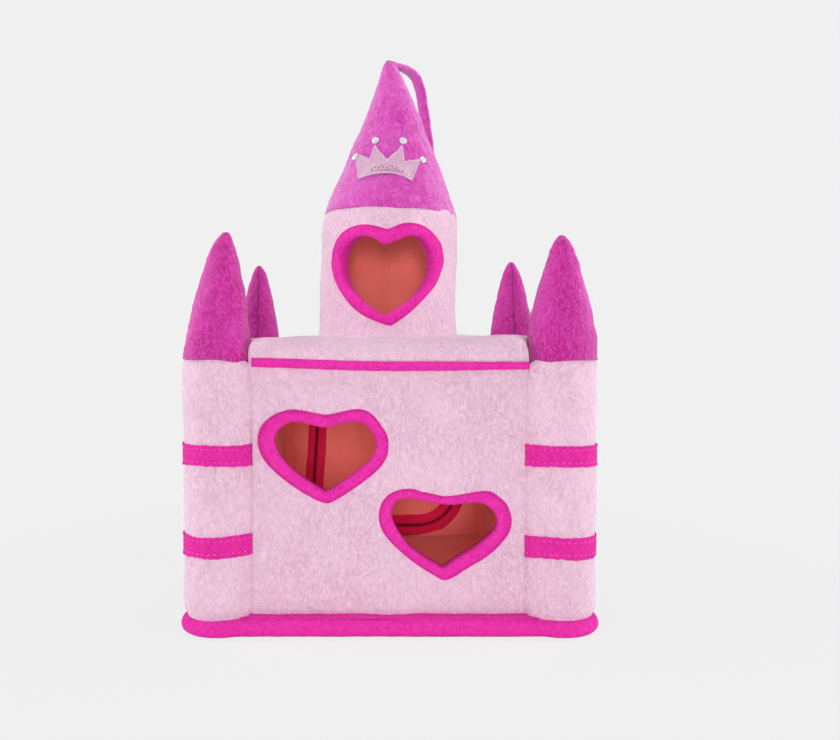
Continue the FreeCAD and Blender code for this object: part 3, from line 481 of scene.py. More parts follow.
class Finish:
    """One material, with a method that adds any node and a few that add common ones."""

    def __init__(self, name):
        self.material = bpy.data.materials.new(name)
        self.material.use_nodes = True
        self.tree = self.material.node_tree
        self.tree.nodes.clear()

    def add(self, kind, settings=None, inputs=None, output=0):
        """Adds a node: its settings first, then a value or a link for each named socket."""
        node = self.tree.nodes.new(kind)
        for setting, value in (settings or {}).items():
            setattr(node, setting, value)
        for key, value in (inputs or {}).items():
            if isinstance(value, Value):
                self.tree.links.new(value.socket, node.inputs[key])
            else:
                node.inputs[key].default_value = value
        return Value(self, node.outputs[output]) if node.outputs else None

    def place(self, scale=1.0, stretch=(1, 1, 1)):
        """Place on the object in millimetres, squeezed along each axis by stretch."""
        at = self.add("ShaderNodeTexCoord", output="Object")
        return self.add(
            "ShaderNodeVectorMath", {"operation": "MULTIPLY"},
            {0: at, 1: tuple(scale * s / MM for s in stretch)},
        )

    def shift(self, place, by, amount):
        """A place moved about by the three parts of a noise colour, each of them 0 to 1."""
        centred = self.add("ShaderNodeVectorMath", {"operation": "SUBTRACT"}, {0: by, 1: (0.5, 0.5, 0.5)})
        grown = self.add("ShaderNodeVectorMath", {"operation": "SCALE"}, {0: centred, "Scale": amount})
        return self.add("ShaderNodeVectorMath", {"operation": "ADD"}, {0: place, 1: grown})

    def squeeze(self, place, stretch):
        return self.add("ShaderNodeVectorMath", {"operation": "MULTIPLY"}, {0: place, 1: stretch})

    def noise(self, place, size, detail=2.0, output="Fac", **more):
        """Soft noise whose spots are about size across."""
        inputs = {"Vector": place, "Scale": 1.0 / size, "Detail": detail, **more}
        return self.add("ShaderNodeTexNoise", inputs=inputs, output=output)

    def mix(self, share, first, second):
        """Goes from the first colour to the second as share goes from 0 to 1."""
        return self.add(
            "ShaderNodeMix", {"data_type": "RGBA"},
            {0: share, 6: first if isinstance(first, Value) else (*first, 1),
             7: second if isinstance(second, Value) else (*second, 1)}, output=2,
        )

    def mark(self, name):
        """A number that sew() kept at the points of the mesh."""
        return self.add("ShaderNodeAttribute", {"attribute_name": name}, output="Fac")

    def bump(self, height, distance, strength=1.0):
        return self.add(
            "ShaderNodeBump", inputs={"Height": height, "Distance": distance * MM, "Strength": strength}
        )

    def surface(self, **inputs):
        """The material's own shader; its names have underscores for spaces."""
        named = {key.replace("_", " "): value for key, value in inputs.items()}
        shader = self.add("ShaderNodeBsdfPrincipled", inputs=named)
        self.add("ShaderNodeOutputMaterial", inputs={"Surface": shader})
        return self.material


def plush(name, base, tip, sheen, pile=1.0, shade=0.62, glow=(1.0, 0.9, 0.97), nap=0.75,
          shaded_seam=False):
    """Short pile: strokes that swirl, patches where it is brushed flat, and pale ends."""
    f = Finish(name)
    at = f.place()
    drift = f.noise(at, 16.0, 1.0, "Color")
    brushed = f.shift(at, drift, 13.0)
    curl = f.noise(brushed, 3.4 * pile, 1.0, "Color")
    strokes = f.noise(f.squeeze(f.shift(brushed, curl, 2.6), (1.0, 1.0, 0.28)), 0.62 * pile, 1.5)
    fibres = f.noise(f.squeeze(at, (1.0, 1.0, 0.45)), 0.36 * pile, 2.0)
    tufts = f.noise(f.squeeze(brushed, (1.0, 1.0, 0.5)), 1.9 * pile, 2.0)
    patches = f.noise(at, 26.0, 1.0)
    height = strokes * 0.9 + fibres * 0.3 + tufts * 0.9
    dark = tuple(channel * power for channel, power in zip(base, (shade, shade * 0.92, shade * 0.97)))
    colour = f.mix((strokes * 0.6 + tufts * 0.4).step(0.34, 0.56), dark, base)
    colour = f.mix((strokes * 0.5 + tufts * 0.5).step(0.45, 0.70) * 0.8, colour, tip)
    colour = f.mix(patches.step(0.35, 0.7) * 0.3, colour, tip)
    if shaded_seam:
        # Painted shade in the groove along the cone's seam
        seam = f.mark("seam")
        colour = f.mix(seam * (0.3 + fibres * 0.4), colour, tuple(c * 0.45 for c in base))
    return f.surface(
        Base_Color=colour, Roughness=0.85, Specular_IOR_Level=0.15, Sheen_Weight=sheen,
        Sheen_Roughness=0.45, Sheen_Tint=(*glow, 1), Normal=f.bump(height, 0.85 * pile, nap),
    )


def fleece(name, base, sheen, nap=0.55, shaded_dents=False, lined=None):
    """Short napped cloth: fine grain, small pills, and painted shade in the dents where stitches pull it
    in. With lined, the side of the strip that faces into the room is painted red for shade and the coral
    light of the lining."""
    f = Finish(name)
    at = f.place()
    grain = f.noise(at, nap, 3.0)
    pills = f.noise(at, 2.4, 2.0)
    fade = f.noise(at, 18.0, 1.0)
    lit = tuple(min(1.0, channel * 1.12 + 0.015) for channel in base)
    # dark is the painted shade of the dents that the stitches pull in
    dark = (base[0] * 0.62, base[1] * 0.45, base[2] * 0.50)
    colour = f.mix((grain * 0.6 + pills * 0.4).step(0.36, 0.62), tuple(c * 0.86 for c in base), lit)
    colour = f.mix(fade.step(0.35, 0.65) * 0.2, colour, lit)
    # Painted shade in the stitch dents
    if shaded_dents:
        stitch = f.mark("stitch")
        colour = f.mix(stitch, colour, dark)
    # Painted red on the room-facing side, for the shade and the coral light of the lining
    if lined:
        within = f.mark("within")
        colour = f.mix(within.step(0.1, 0.5) * (0.85 + grain * 0.15), colour, lined)
    return f.surface(
        Base_Color=colour, Roughness=0.9, Specular_IOR_Level=0.12, Sheen_Weight=sheen,
        Sheen_Roughness=0.4, Sheen_Tint=(1.0, 0.35, 0.85, 1),
        Normal=f.bump(grain * 0.7 + pills * 0.8, 0.4, 0.8),
    )


def lining(name, base):
    """Thin smooth woven cloth: two sets of fine threads and soft creases."""
    f = Finish(name)
    at = f.place()
    upright = f.noise(f.squeeze(at, (1.0, 1.0, 0.12)), 0.4, 1.0)
    threads = upright + f.noise(f.squeeze(at, (0.12, 0.12, 1.0)), 0.4, 1.0)
    creases = f.noise(f.squeeze(at, (1.0, 1.0, 0.45)), 14.0, 1.0)
    shade = f.noise(at, 30.0, 1.0)
    dark = (base[0] * 0.85, base[1] * 0.78, base[2] * 0.78)
    colour = f.mix(shade.step(0.35, 0.65) * 0.5 + threads.step(0.8, 1.2) * 0.2, base, dark)
    return f.surface(
        Base_Color=colour, Roughness=0.7, Specular_IOR_Level=0.3, Sheen_Weight=0.15,
        Normal=f.bump(threads * 0.12 + creases * 2.5, 0.5, 0.7),
    )


def grainy(name, base, size, roughness, depth):
    """Board: small fibres and pores in a plain colour."""
    f = Finish(name)
    at = f.place()
    pores = f.noise(at, size, 4.0)
    colour = f.mix(pores.step(0.35, 0.6), tuple(c * 0.75 for c in base), base)
    return f.surface(Base_Color=colour, Roughness=roughness, Normal=f.bump(pores, depth))


def net(name, base, sequin_glint=(0.95, 0.9, 0.95), dark_sequin=(0.08, 0.012, 0.035)):
    """The crown's mesh: small holes in rows, darker at its foot, with sequins that are dark or drawn bright
    with a painted glint.
    """
    f = Finish(name)
    at = f.place()
    holes = f.add(
        "ShaderNodeTexVoronoi", {"feature": "F1"}, {"Vector": at, "Scale": 1.15, "Randomness": 0.25},
        "Distance",
    )
    foot, bright, dull = (f.mark(name) for name in ("foot", "bright", "dull"))
    colour = f.mix(holes.step(0.28, 0.42), tuple(c * 0.62 for c in base), base)
    colour = f.mix(foot * 0.55, colour, (base[0] * 0.5, base[1] * 0.32, base[2] * 0.42))
    # Painted glint: bright sequins get a near-white colour, less roughness and some metal
    colour = f.mix(bright, colour, sequin_glint)
    colour = f.mix(dull, colour, dark_sequin)
    return f.surface(
        Base_Color=colour, Roughness=0.5 - bright * 0.3, Metallic=bright * 0.4, Sheen_Weight=0.2,
        Normal=f.bump(holes.step(0.2, 0.5), 0.25),
    )


def satin(name, base):
    """Satin stitch: fine threads laid side by side across the edge, read from the length along it."""
    f = Finish(name)
    along = f.mark("along")
    ridge = f.add("ShaderNodeMath", {"operation": "SINE"}, {0: along * (2 * pi / 0.42)})
    colour = f.mix(ridge.step(-0.9, 0.4), tuple(c * 0.78 for c in base), base)
    return f.surface(Base_Color=colour, Roughness=0.35, Sheen_Weight=0.3, Normal=f.bump(ridge, 0.12))


def thread(name, base):
    f = Finish(name)
    twist = f.noise(f.squeeze(f.place(), (1.0, 1.0, 2.2)), 0.3, 1.0)
    colour = f.mix(twist.step(0.35, 0.6), tuple(c * 0.8 for c in base), base)
    return f.surface(Base_Color=colour, Roughness=0.5, Sheen_Weight=0.3, Normal=f.bump(twist, 0.15))


def stone(name):
    """Clear cut glass over a silvered back: bright facets and a faint haze."""
    f = Finish(name)
    haze = f.noise(f.place(), 1.5, 2.0)
    colour = f.mix(haze.step(0.3, 0.7), (0.55, 0.56, 0.64), (0.92, 0.92, 0.96))
    return f.surface(
        Base_Color=colour, Roughness=0.08, Metallic=0.85, Coat_Weight=0.6, Coat_Roughness=0.03,
    )


FINISHES = {
    "pale": lambda name, c: plush(name, c.pale, c.pale_tip, 0.6, 1.0, 0.86, (1.0, 0.88, 0.97), 0.6),
    "rose": lambda name, c: plush(name, c.rose, c.rose_tip, 0.7, 0.9, 0.62, (1.0, 0.42, 0.9), 0.8, True),
    "orchid": lambda name, c: plush(name, c.orchid, c.orchid_tip, 0.9, 1.3, 0.74, (1.0, 0.62, 1.0), 0.75),
    "fleece": lambda name, c: fleece(name, c.fleece, 0.15),
    "bound": lambda name, c: fleece(name, c.fleece, 0.12, shaded_dents=True),
    "lined": lambda name, c: fleece(name, c.fleece, 0.05, shaded_dents=True, lined=c.red),
    "felt": lambda name, c: fleece(name, c.felt, 0.15, nap=0.4),
    "thread": lambda name, c: thread(name, c.thread),
    "lining": lambda name, c: lining(name, c.lining),
    "net": lambda name, c: net(name, c.net),
    "satin": lambda name, c: satin(name, c.satin),
    "stone": lambda name, c: stone(name),
    "board": lambda name, c: grainy(name, c.board, 1.6, 0.85, 0.1),
}


def material(finish):
    """The finish of that name, made from the colours when it is first asked for."""
    name = f"castle_{finish}"
    if name in bpy.data.materials:
        return bpy.data.materials[name]
    colours = bpy.context.scene.castle_colours
    return FINISHES[finish](name, colours)


# Base


def base_outline(count=600):
    """Middle line of the base roll: round each turret, straight between, hollow where they meet."""
    middle_x, radius, blend, edge_x, edge_y = TURRET_X - 0.8, 16.7, 12.0, 103.4, 98.8
    dy = blend + edge_y - TURRET_Y
    dx = -np.sqrt((radius + blend) ** 2 - dy**2)
    side_x = blend + edge_x - middle_x
    side_y = -np.sqrt((radius + blend) ** 2 - side_x**2)
    low, high = np.arctan2(side_y, side_x), np.arctan2(dy, dx)
    corner = np.vstack([
        around(pi, low + pi, 10, (middle_x + side_x, TURRET_Y + side_y), blend),
        around(low, high, 40, (middle_x, TURRET_Y), radius),
        around(high - pi, -pi / 2, 10, (middle_x + dx, TURRET_Y + dy), blend),
    ])
    path = np.vstack([corner, (corner * (-1, 1))[::-1], corner * (-1, -1), (corner * (1, -1))[::-1]])
    return even(path, count)


class CASTLE_OT_base(bpy.types.Operator):
    """Sews the base: underside, top cover with its lip, and the stuffed roll round it"""
    bl_idname = "castle.base"
    bl_label = "Base"

    def execute(self, context):
        path = base_outline()
        out = beside(path)
        place = np.column_stack([path, np.zeros(len(path))])
        uneven = waves(place, 46.0, 3)
        radius = 4.75 + 0.16 * uneven + 0.07 * waves(place, 9.0, 4)
        turn = np.arange(28) * 2 * pi / 28
        squash = 1 - 0.06 * ease(-np.sin(turn), 0.5, 1.0)
        profile = np.stack([
            radius[:, None] * np.cos(turn),
            4.75 + (radius[:, None] * np.sin(turn)) * squash + 0.12 * uneven[:, None],
        ], -1)
        side = np.column_stack([out, np.zeros(len(path))])
        grid = carried(place, side, np.tile([0.0, 0.0, 1.0], (len(path), 1)), profile)
        sew("base_roll_cover", "castle", "fleece", ring(grid), ["base_roll"])

        low, high = limits("base_top_cover")
        deep = limits("base_foam")[0][2]
        near = np.hypot(np.abs(path[:, 0]) - TURRET_X, np.abs(path[:, 1]) - TURRET_Y)
        edge = path + out * (0.7 - 1.6 * (1 - ease(near, 16.5, 26)) + 0.25 * waves(place, 60.0, 5))[:, None]
        above = lambda p, s: (
            high[2] - 0.15 - 1.6 * ease(s, 0.93, 0.965) - 0.2 * waves(np.dstack([p, s]), 30, 6) * s**9
        )
        below = lambda p, s: deep + (low[2] - deep) * ease(s, 0.88, 0.925)
        sew(
            "base_top", "castle", "fleece", pad(edge, above, below, 50, 5),
            ["base_top_cover", "base_foam"],
        )
        low, high = limits("base_underside")
        under = path - out * 2.0
        sew(
            "base_under", "castle", "fleece",
            pad(
                under, flat(high[2]),
                lambda p, s: low[2] + 0.25 + 0.15 * waves(np.dstack([p, s * 0]), 40, 7), 24, 1,
            ),
            ["base_underside"],
        )
        return {"FINISHED"}


# Walls


def wall_face(side, across, up):
    """How far out a wall's skin lies: flat, swollen in the middle, and drawn in at its edges."""
    sizes = bpy.context.scene.castle_sizes
    half = 73.0 if side in ("front", "back") else 66.0
    puff = sizes.wall_puff / MM
    share = np.clip(np.abs(across) / half, 0, 1)
    rise = np.clip(np.abs(up - 76.0) / 66.0, 0, 1)
    place = np.stack(np.broadcast_arrays(across, up), -1)
    seed = 20 + SIDES.index(side)
    return (
        WALL_OUT[side] + puff * (1 - share**4) * (1 - rise**4)
        - CREASE * ease(np.abs(across), half - 5, half + 1) * (1 - ease(up, 130, 137))
        - 0.8 * (1 - ease(up, HEM, HEM + 4)) + 0.55 * ease(up, 134, WALL_TOP)
        + (0.33 * waves(place, 38.0, seed) + 0.10 * waves(place, 8.0, seed + 9))
        * (1 - share**6) * (1 - ease(up, 130, 137))
    )


def flap_outline(half, corner, low, high):
    """A U, wider below: straight sides and top with tight corners, and round lower corners."""
    tight = 1.5
    outline = even(np.vstack([
        around(-pi / 2, 0, 24, (half - corner, low + corner), corner),
        around(0, pi / 2, 5, (half - tight, high - tight), tight),
        around(pi / 2, pi, 5, (tight - half, high - tight), tight),
        around(pi, 1.5 * pi, 24, (corner - half, low + corner), corner),
    ]), 480)
    outline[:, 0] *= 1 - 0.0012 * (outline[:, 1] - 50)
    return outline


def openings(side):
    """Closed curves of the wall's openings, as across and up."""
    if side == "front":
        return [through(LEFT_OPENING), through(RIGHT_OPENING)]
    if side == "back":
        return [flap_outline(53.2, 31.2, 18.7, 123.2)]
    return []


def wall_sheet(side, half, low, high, cell, grow):
    """A wall's grid, across and up, and its faces without those in the openings."""
    columns = int(2 * half / cell) + 1
    rows = int((high - low) / cell) + 1
    up, across = np.meshgrid(
        np.linspace(low, high, rows), np.linspace(-half, half, columns), indexing="ij"
    )
    quads = cells(rows, columns)
    middle = across.ravel()[quads].mean(1), up.ravel()[quads].mean(1)
    for opening in openings(side):
        keep = ~inside(opening, *middle, grow)
        quads = quads[keep]
        middle = middle[0][keep], middle[1][keep]
    return across.ravel(), up.ravel(), quads


class CASTLE_OT_walls(bpy.types.Operator):
    """Sews the padded skins of the four walls"""
    bl_idname = "castle.walls"
    bl_label = "Walls"

    def execute(self, context):
        for side in SIDES:
            half = {"front": 81.0, "back": 81.0, "left": 70.0, "right": 70.0}[side]
            across, up, quads = wall_sheet(side, half, HEM, ROOF_FOOT - 0.1, 1.0, 2.8)
            face = wall_face(side, across, up)
            # Above the room and below its floor the skin is thin, because a board lies behind it
            thin = (up > WALL_TOP - 0.6) | (up < FLOOR_TOP + 0.4)
            back = np.where(thin, np.minimum(WALL_OUT[side] + 0.06, face - 0.2), ROOM_OUT[side] + 1.0)
            face, back = stand(side, across, up, face), stand(side, across, up, back)
            sew(
                f"{side}_wall_pad", "castle", "pale", shell(face, back, quads),
                [f"{side}_wall_plush", f"{side}_wall_foam"],
            )
        return {"FINISHED"}


def lining_out(side, across, up):
    """How far out a lining lies: slack, with a slant across the corners and creases beside them."""
    place = np.stack(np.broadcast_arrays(across, up), -1)
    seed = 40 + SIDES.index(side)
    out = ROOM_OUT[side] + 0.35 * waves(place, 45.0, seed) - 0.35
    if side in ("front", "back"):
        slant = np.clip(np.abs(across) - 66.6 + 0.4 * waves(place, 50.0, seed + 5), 0, None)
        out = out - slant * 1.02 + 0.9 * hump(np.abs(across), 66.3, 0.9)
    return out


class CASTLE_OT_linings(bpy.types.Operator):
    """Sews the linings of the room, floor and ceiling"""
    bl_idname = "castle.linings"
    bl_label = "Linings"

    def execute(self, context):
        for side in SIDES:
            half = 73.0 if side in ("front", "back") else 85.8
            across, up, quads = wall_sheet(side, half, FLOOR_TOP, WALL_TOP - 0.1, 1.25, 3.2)
            out = lining_out(side, across, up)
            shape = shell(stand(side, across, up, out + 0.6), stand(side, across, up, out - 0.1), quads)
            sew(f"{side}_lining_cloth", "castle", "lining", shape, [f"{side}_wall_lining"])
        for node, name, seed, up in (
            ("floor_lining", "floor_cloth", 51, 1), ("roof_lining", "ceiling_cloth", 52, -1),
        ):
            low, high = limits(node)
            edge = even(np.array([
                [high[0], low[1]], [high[0], high[1]], [low[0], high[1]], [low[0], low[1]],
            ]), 320)
            top = high[2] - 0.05 if up > 0 else high[2]
            wrinkle = lambda p, s, seed=seed: 0.3 * np.abs(waves(p, 34.0, seed)) * (1 - s**8)
            above = (lambda p, s: top + wrinkle(p, s)) if up > 0 else flat(top)
            below = flat(low[2]) if up > 0 else (lambda p, s: low[2] - wrinkle(p, s))
            sew(name, "castle", "lining", pad(edge, above, below, 40, 1), [node])
        return {"FINISHED"}


# Across a binding from its outer edge over the front, round the edge, back inside and under:
# share of the width, share of the way to the front, and height off that face
BINDING = np.array([
    (1.00, 1, -0.8), (1.01, 1, 0.15), (0.97, 1, 0.70), (0.90, 1, 0.95), (0.84, 1, 1.05),
    (0.74, 1, 1.30), (0.60, 1, 1.42), (0.45, 1, 1.45), (0.30, 1, 1.40), (0.16, 1, 1.15),
    (0.06, 1, 0.65), (0.00, 1, -0.2), (0.00, 0.8, 0), (0.04, 0.5, 0), (0.09, 0.25, 0),
    (0.12, 0, 0.4), (0.16, 0, -0.55), (0.26, 0, -0.95), (0.50, 0, -1.05), (0.82, 0, -0.95),
    (0.96, 0, -0.6), (1.00, 0, 0.1), (0.94, 0, 0.35), (0.26, 0, 0.5), (0.18, 1, -1.3), (0.92, 1, -1.1),
])


def bind(name, body, node, opening, border, lay, seed, join=None, finish="bound"):
    """A strip of fleece folded over an edge, between two closed curves that face each other.

    lay(across, up, front, off) gives the place in the castle. Overcast stitches dent the strip
    near its outer edge, with painted shade in the dents, and at join, an angle, one end laps over the
    other.
    """
    pitch = bpy.context.scene.castle_sizes.overcast_pitch / MM
    border = even(border, 520)
    centre = border.mean(0)
    turn = np.arctan2(*(border - centre).T[::-1])
    inner = centre + reach(opening, centre, turn)[:, None] * np.stack([np.cos(turn), np.sin(turn)], 1)
    along = run(border)
    share, front, off = BINDING.T
    wobble = 1 + 0.035 * np.sin(along * 2 * pi / 37 + seed)
    plan = inner[:, None] + (share[None, :, None] * wobble[:, None, None]) * (border - inner)[:, None]
    drift = along + 0.4 * waves(border, 11.0, seed + 8)
    beat = (0.5 + 0.5 * np.cos(2 * pi * drift / pitch)) ** 2
    row = hump(share, 0.88, 0.07) * (front == 1) * (off > 0)
    off = off[None] * (1 + 0.10 * waves(border, 9.0, seed)[:, None]) - 0.5 * row[None] * beat[:, None]
    off = off - 0.25 * row[None]
    if join is not None:
        after = ((turn - join) % (2 * pi))[:, None]
        off = off + 0.7 * (front == 1) * (BINDING[:, 2] > 0) * (after < 0.5) * (1 - after / 0.5)
    grid = lay(plan[..., 0], plan[..., 1], np.broadcast_to(front, off.shape), off)
    # The stitch mark paints shade into the dents that the overcast stitches pull in
    faint = np.clip(0.9 + 0.3 * waves(border, 13.0, seed + 9), 0.3, 1)
    stitch = row[None] * ((0.2 + 0.7 * beat) * faint)[:, None]
    # within marks the room-facing side, where a lined finish paints red for shade and bounced light
    within = np.broadcast_to(1 - front, stitch.shape)
    marks = {"stitch": stitch, "within": within}
    return sew(name, body, finish, ring(grid), [node], marks=marks)


def on_wall(side):
    """Lays a strip on a wall's skin in front and on its lining behind."""
    def lay(across, up, front, off):
        face = wall_face(side, across, up)
        return stand(side, across, up, front * face + (1 - front) * ROOM_OUT[side] + off)
    return lay


class CASTLE_OT_windows(bpy.types.Operator):
    """Binds the two heart windows of the front wall and the doorway in the back wall"""
    bl_idname = "castle.windows"
    bl_label = "Windows"

    def execute(self, context):
        lay = on_wall("front")
        bind(
            "left_window_edge", "castle", "left_window_binding", through(LEFT_OPENING),
            through(LEFT_BORDER), lay, 1,
        )
        bind(
            "right_window_edge", "castle", "right_window_binding", through(RIGHT_OPENING),
            through(RIGHT_BORDER), lay, 2, join=radians(-78),
        )
        # The doorway's binding gets painted room shade on its inner side
        bind(
            "doorway_edge", "castle", "doorway_binding", flap_outline(52.35, 30.35, 19.55, 122.6),
            flap_outline(58.7, 36.7, 12.4, 128.7), on_wall("back"), 3, finish="lined",
        )
        return {"FINISHED"}


# Back door


class CASTLE_OT_door(bpy.types.Operator):
    """Sews the back door, its lining and binding, and the welt that it hangs from"""
    bl_idname = "castle.door"
    bl_label = "Back Door"

    def execute(self, context):
        inner_edge = flap_outline(45.7, 23.7, 26.7, 114.3)
        puff = lambda p, s: 94.9 + 1.2 * (1 - s**6) + 0.25 * waves(p, 30.0, 61) * (1 - s**4)
        points, faces = pad(inner_edge, puff, flat(87.0), 50, 3)
        sew(
            "door_pad", "back_door", "pale", (stand("back", *points.T), faces),
            ["door_plush", "door_foam"],
        )
        slack = lambda p, s: 86.05 - 0.3 * np.abs(waves(p, 32.0, 62)) * (1 - s**8)
        points, faces = pad(inner_edge, flat(86.75), slack, 40, 1)
        sew("door_cloth", "back_door", "lining", (stand("back", *points.T), faces), ["door_lining"])

        def lay(across, up, front, off):
            return stand("back", across, up, front * 94.7 + (1 - front) * 86.0 + off * 0.8)

        # The door's binding gets painted room shade on its inner side
        bind(
            "door_edge", "back_door", "door_binding", flap_outline(52.25, 30.25, 19.65, 120.5),
            flap_outline(44.8, 22.8, 27.6, 113.4), lay, 4, finish="lined",
        )
        low, high = limits("door_hinge_welt")
        x = np.linspace(low[0], high[0], 120)
        middle = (low + high) / 2
        path = np.stack([x, np.full(120, middle[1]), middle[2] + 0.05 * np.sin(x / 7)], 1)
        side, up = np.tile([0.0, 1.0, 0.0], (120, 1)), np.tile([0.0, 0.0, 1.0], (120, 1))
        grid = carried(path, side, up, oval(1.12, 1.12, 14))
        sew("hinge_welt", "castle", "fleece", bag(grid), ["door_hinge_welt"])
        return {"FINISHED"}


# Turrets


# Foot of the turrets above the floor, and how far each bulges where it is pressed to the walls
FOOT = 8.6
BULGE = {"front_left": 2.6, "front_right": 4.0, "rear_left": 2.6, "rear_right": 2.6}


def turret_radius(up):
    """Radius of a turret at a height: stuffed between its bands, drawn in under them and at the ends."""
    puff = bpy.context.scene.castle_sizes.turret_puff / MM
    return (
        TURRET_RADIUS - 0.25 + puff * (1 - hump(up, 48, 9) - hump(up, 96, 9))
        - 1.9 * (1 - ease(up, FOOT, FOOT + 6)) - 1.3 * ease(up, 142.5, 146.5)
    )


def turret_ring(radius, near_x, near_y, bulge, counts=(108, 10, 8)):
    """Outline of a stuffed turret in the plan, about its axis, for the rear right corner: an arc
    that bulges at its ends, and two flat stretches where it is pressed to the walls' corner."""
    wide = radius + bulge
    near_x, near_y = np.minimum(near_x, radius * 0.996), np.minimum(near_y, radius * 0.996)
    start = pi - np.arcsin(near_y / wide)
    end = -pi + np.arccos(near_x / wide)
    share = np.linspace(0, 1, counts[0])
    angle = start[:, None] + (end - start)[:, None] * share
    press = hump(angle, start[:, None], 0.42) + hump(angle, end[:, None], 0.42)
    bowed = radius[:, None] + np.reshape(bulge, (-1, 1)) * press
    arc = np.stack([bowed * np.cos(angle), bowed * np.sin(angle)], -1)
    low = -np.sqrt(wide**2 - near_x**2)
    far = -np.sqrt(wide**2 - near_y**2)
    t = np.linspace(0, 1, counts[1] + 1)[None, 1:]
    inner = np.stack(np.broadcast_arrays(-near_x[:, None], low[:, None] + (near_y - low)[:, None] * t), -1)
    t = np.linspace(0, 1, counts[2] + 1)[None, 1:-1]
    across = -near_x[:, None] + (far + near_x)[:, None] * t
    outer = np.stack(np.broadcast_arrays(across, near_y[:, None]), -1)
    return np.concatenate([arc, inner, outer], 1), share


def at_corner(points, corner):
    """Moves points about the rear right axis to a corner's turret."""
    sx, sy = CORNERS[corner]
    return points * (sx, sy, 1) + (sx * TURRET_X, sy * TURRET_Y, 0)


# Half width of a turret's cone at heights above its foot
PEAK = np.array([
    (0.0, 19.0), (5.0, 18.4), (15.5, 16.7), (28.5, 14.4), (40.5, 11.8), (54.5, 8.3), (61.5, 5.7),
    (64.8, 4.1), (66.9, 2.7), (68.0, 1.4),
])


# Each cone's own shape: its height, extra width and lean as shares, and how far right it sits
CONES = {
    "front_left": (1.0, 0.0, 1.0, 0.0), "front_right": (0.976, 0.07, 0.1, 0.3),
    "rear_left": (0.947, -0.13, 0.1, 0.0), "rear_right": (0.985, -0.06, 0.3, 0.8),
}
# How a leaning cone bends: share of its lean at heights above its foot
BEND = np.array([
    (0.0, 0.0), (15.0, 0.0), (28.0, 0.19), (40.0, 0.45), (54.0, 0.58), (62.0, 0.68), (68.0, 1.0),
])


class CASTLE_OT_turrets(bpy.types.Operator):
    """Sews the four stuffed turrets and their cones"""
    bl_idname = "castle.turrets"
    bl_label = "Turrets"

    def execute(self, context):
        lean = context.scene.castle_sizes.lean / MM
        for index, (corner, (sx, sy)) in enumerate(CORNERS.items()):
            up = np.linspace(FOOT, TURRET_TOP + 1.2, 130)
            deep = CREASE * (1 - ease(up, 130, 137)) - 0.35
            plan, share = turret_ring(
                turret_radius(up), TURRET_X - WALL_OUT["right"] + deep, WALL_OUT["back"] - TURRET_Y - deep,
                BULGE[corner] * (1 - ease(up, 141.5, 147)),
            )
            grid = np.dstack([plan, np.repeat(up[:, None], plan.shape[1], 1)])
            arc = grid[:, :len(share)]
            fade = ease(share, 0, 0.06) * ease(1 - share, 0, 0.06) * (1 - ease(up, 138, 144))[:, None]
            swell = (0.30 * waves(arc, 26.0, 70 + index) + 0.09 * waves(arc, 6.0, 80 + index)) * fade
            way = arc[..., :2] / np.linalg.norm(arc[..., :2], axis=-1)[..., None]
            arc[..., :2] += way * swell[..., None]
            points, faces = bag(grid)
            sew(
                f"{corner}_turret_body", "castle", "pale", (at_corner(points, corner), faces),
                [f"{corner}_turret_column"],
            )

            up = np.concatenate([np.linspace(1.6, 60, 62), np.linspace(60.8, 68.0, 12)])
            radius = np.interp(up, *PEAK.T)
            radius = np.convolve(np.pad(radius, 2, "edge"), [0.1, 0.2, 0.4, 0.2, 0.1], "valid")
            hem = np.array([(2.6, 16.0), (1.0, 17.6), (0.35, 18.6), (0.6, 19.1)])
            up, radius = np.concatenate([hem[:, 0], up]), np.concatenate([hem[:, 1], radius])
            turn = np.arange(200) * 2 * pi / 200
            stretch, wider, tilt, shift = CONES[corner]
            up[4:] *= stretch
            radius *= 1 + wider * ease(up, 2, 14) * (1 - ease(up, 20, 60) * (wider > 0))
            tilt *= lean
            bend = tilt * np.interp(up, *BEND.T) * (-sx)
            place = np.stack([
                np.cos(turn) * radius[:, None], np.sin(turn) * radius[:, None],
                np.repeat(up[:, None], 200, 1),
            ], -1)
            inwards = np.cos(turn) * -sx
            drop = -1.6 * ease(inwards, -0.2, 1.0) + 0.25 * waves(place[4], 16.0, 60 + index)
            drop = drop * (1 - ease(up, 2, 22))[:, None]
            seam_at = pi / 2 * (1 if sy < 0 else -1) + 0.06 * -sx
            away = np.abs((turn - seam_at + pi) % (2 * pi) - pi)[None] * radius[:, None]
            # The seam mark, where the groove is drawn in, carries painted shade in the rose plush
            seam = np.exp(-((away / 0.7) ** 2)) * ease(up, 0, 3)[:, None]
            pucker = np.exp(-((away / 3.2) ** 2)) * np.sin(up[:, None] * 2 * pi / 2.6)
            ripple = 0.26 * waves(place, 17.0, 90 + index) + 0.10 * waves(place, 5.0, 95 + index)
            radius = radius[:, None] + ripple * ease(radius, 1, 6)[:, None] - 1.0 * seam + 0.14 * pucker
            grid = np.stack([
                np.cos(turn) * radius + bend[:, None] + sx * TURRET_X + shift,
                np.sin(turn) * radius + sy * TURRET_Y, place[..., 2] + TURRET_TOP + drop,
            ], -1)
            top = [sx * TURRET_X + shift + bend[-1], sy * TURRET_Y, TURRET_TOP + up[-1] + 0.4]
            sew(
                f"{corner}_turret_peak", "castle", "rose", bag(grid, end=top),
                [f"{corner}_turret_cone"], marks={"seam": np.append(seam.ravel(), [0, 0])},
            )
        return {"FINISHED"}


# Half a band's profile, from its middle up: height as a share, and how far off the turret
BAND = np.array([
    (0.0, 0.84), (0.30, 0.86), (0.50, 0.82), (0.585, 0.60), (0.67, 0.82), (0.84, 0.98), (0.95, 1.0),
    (1.0, 0.8),
])


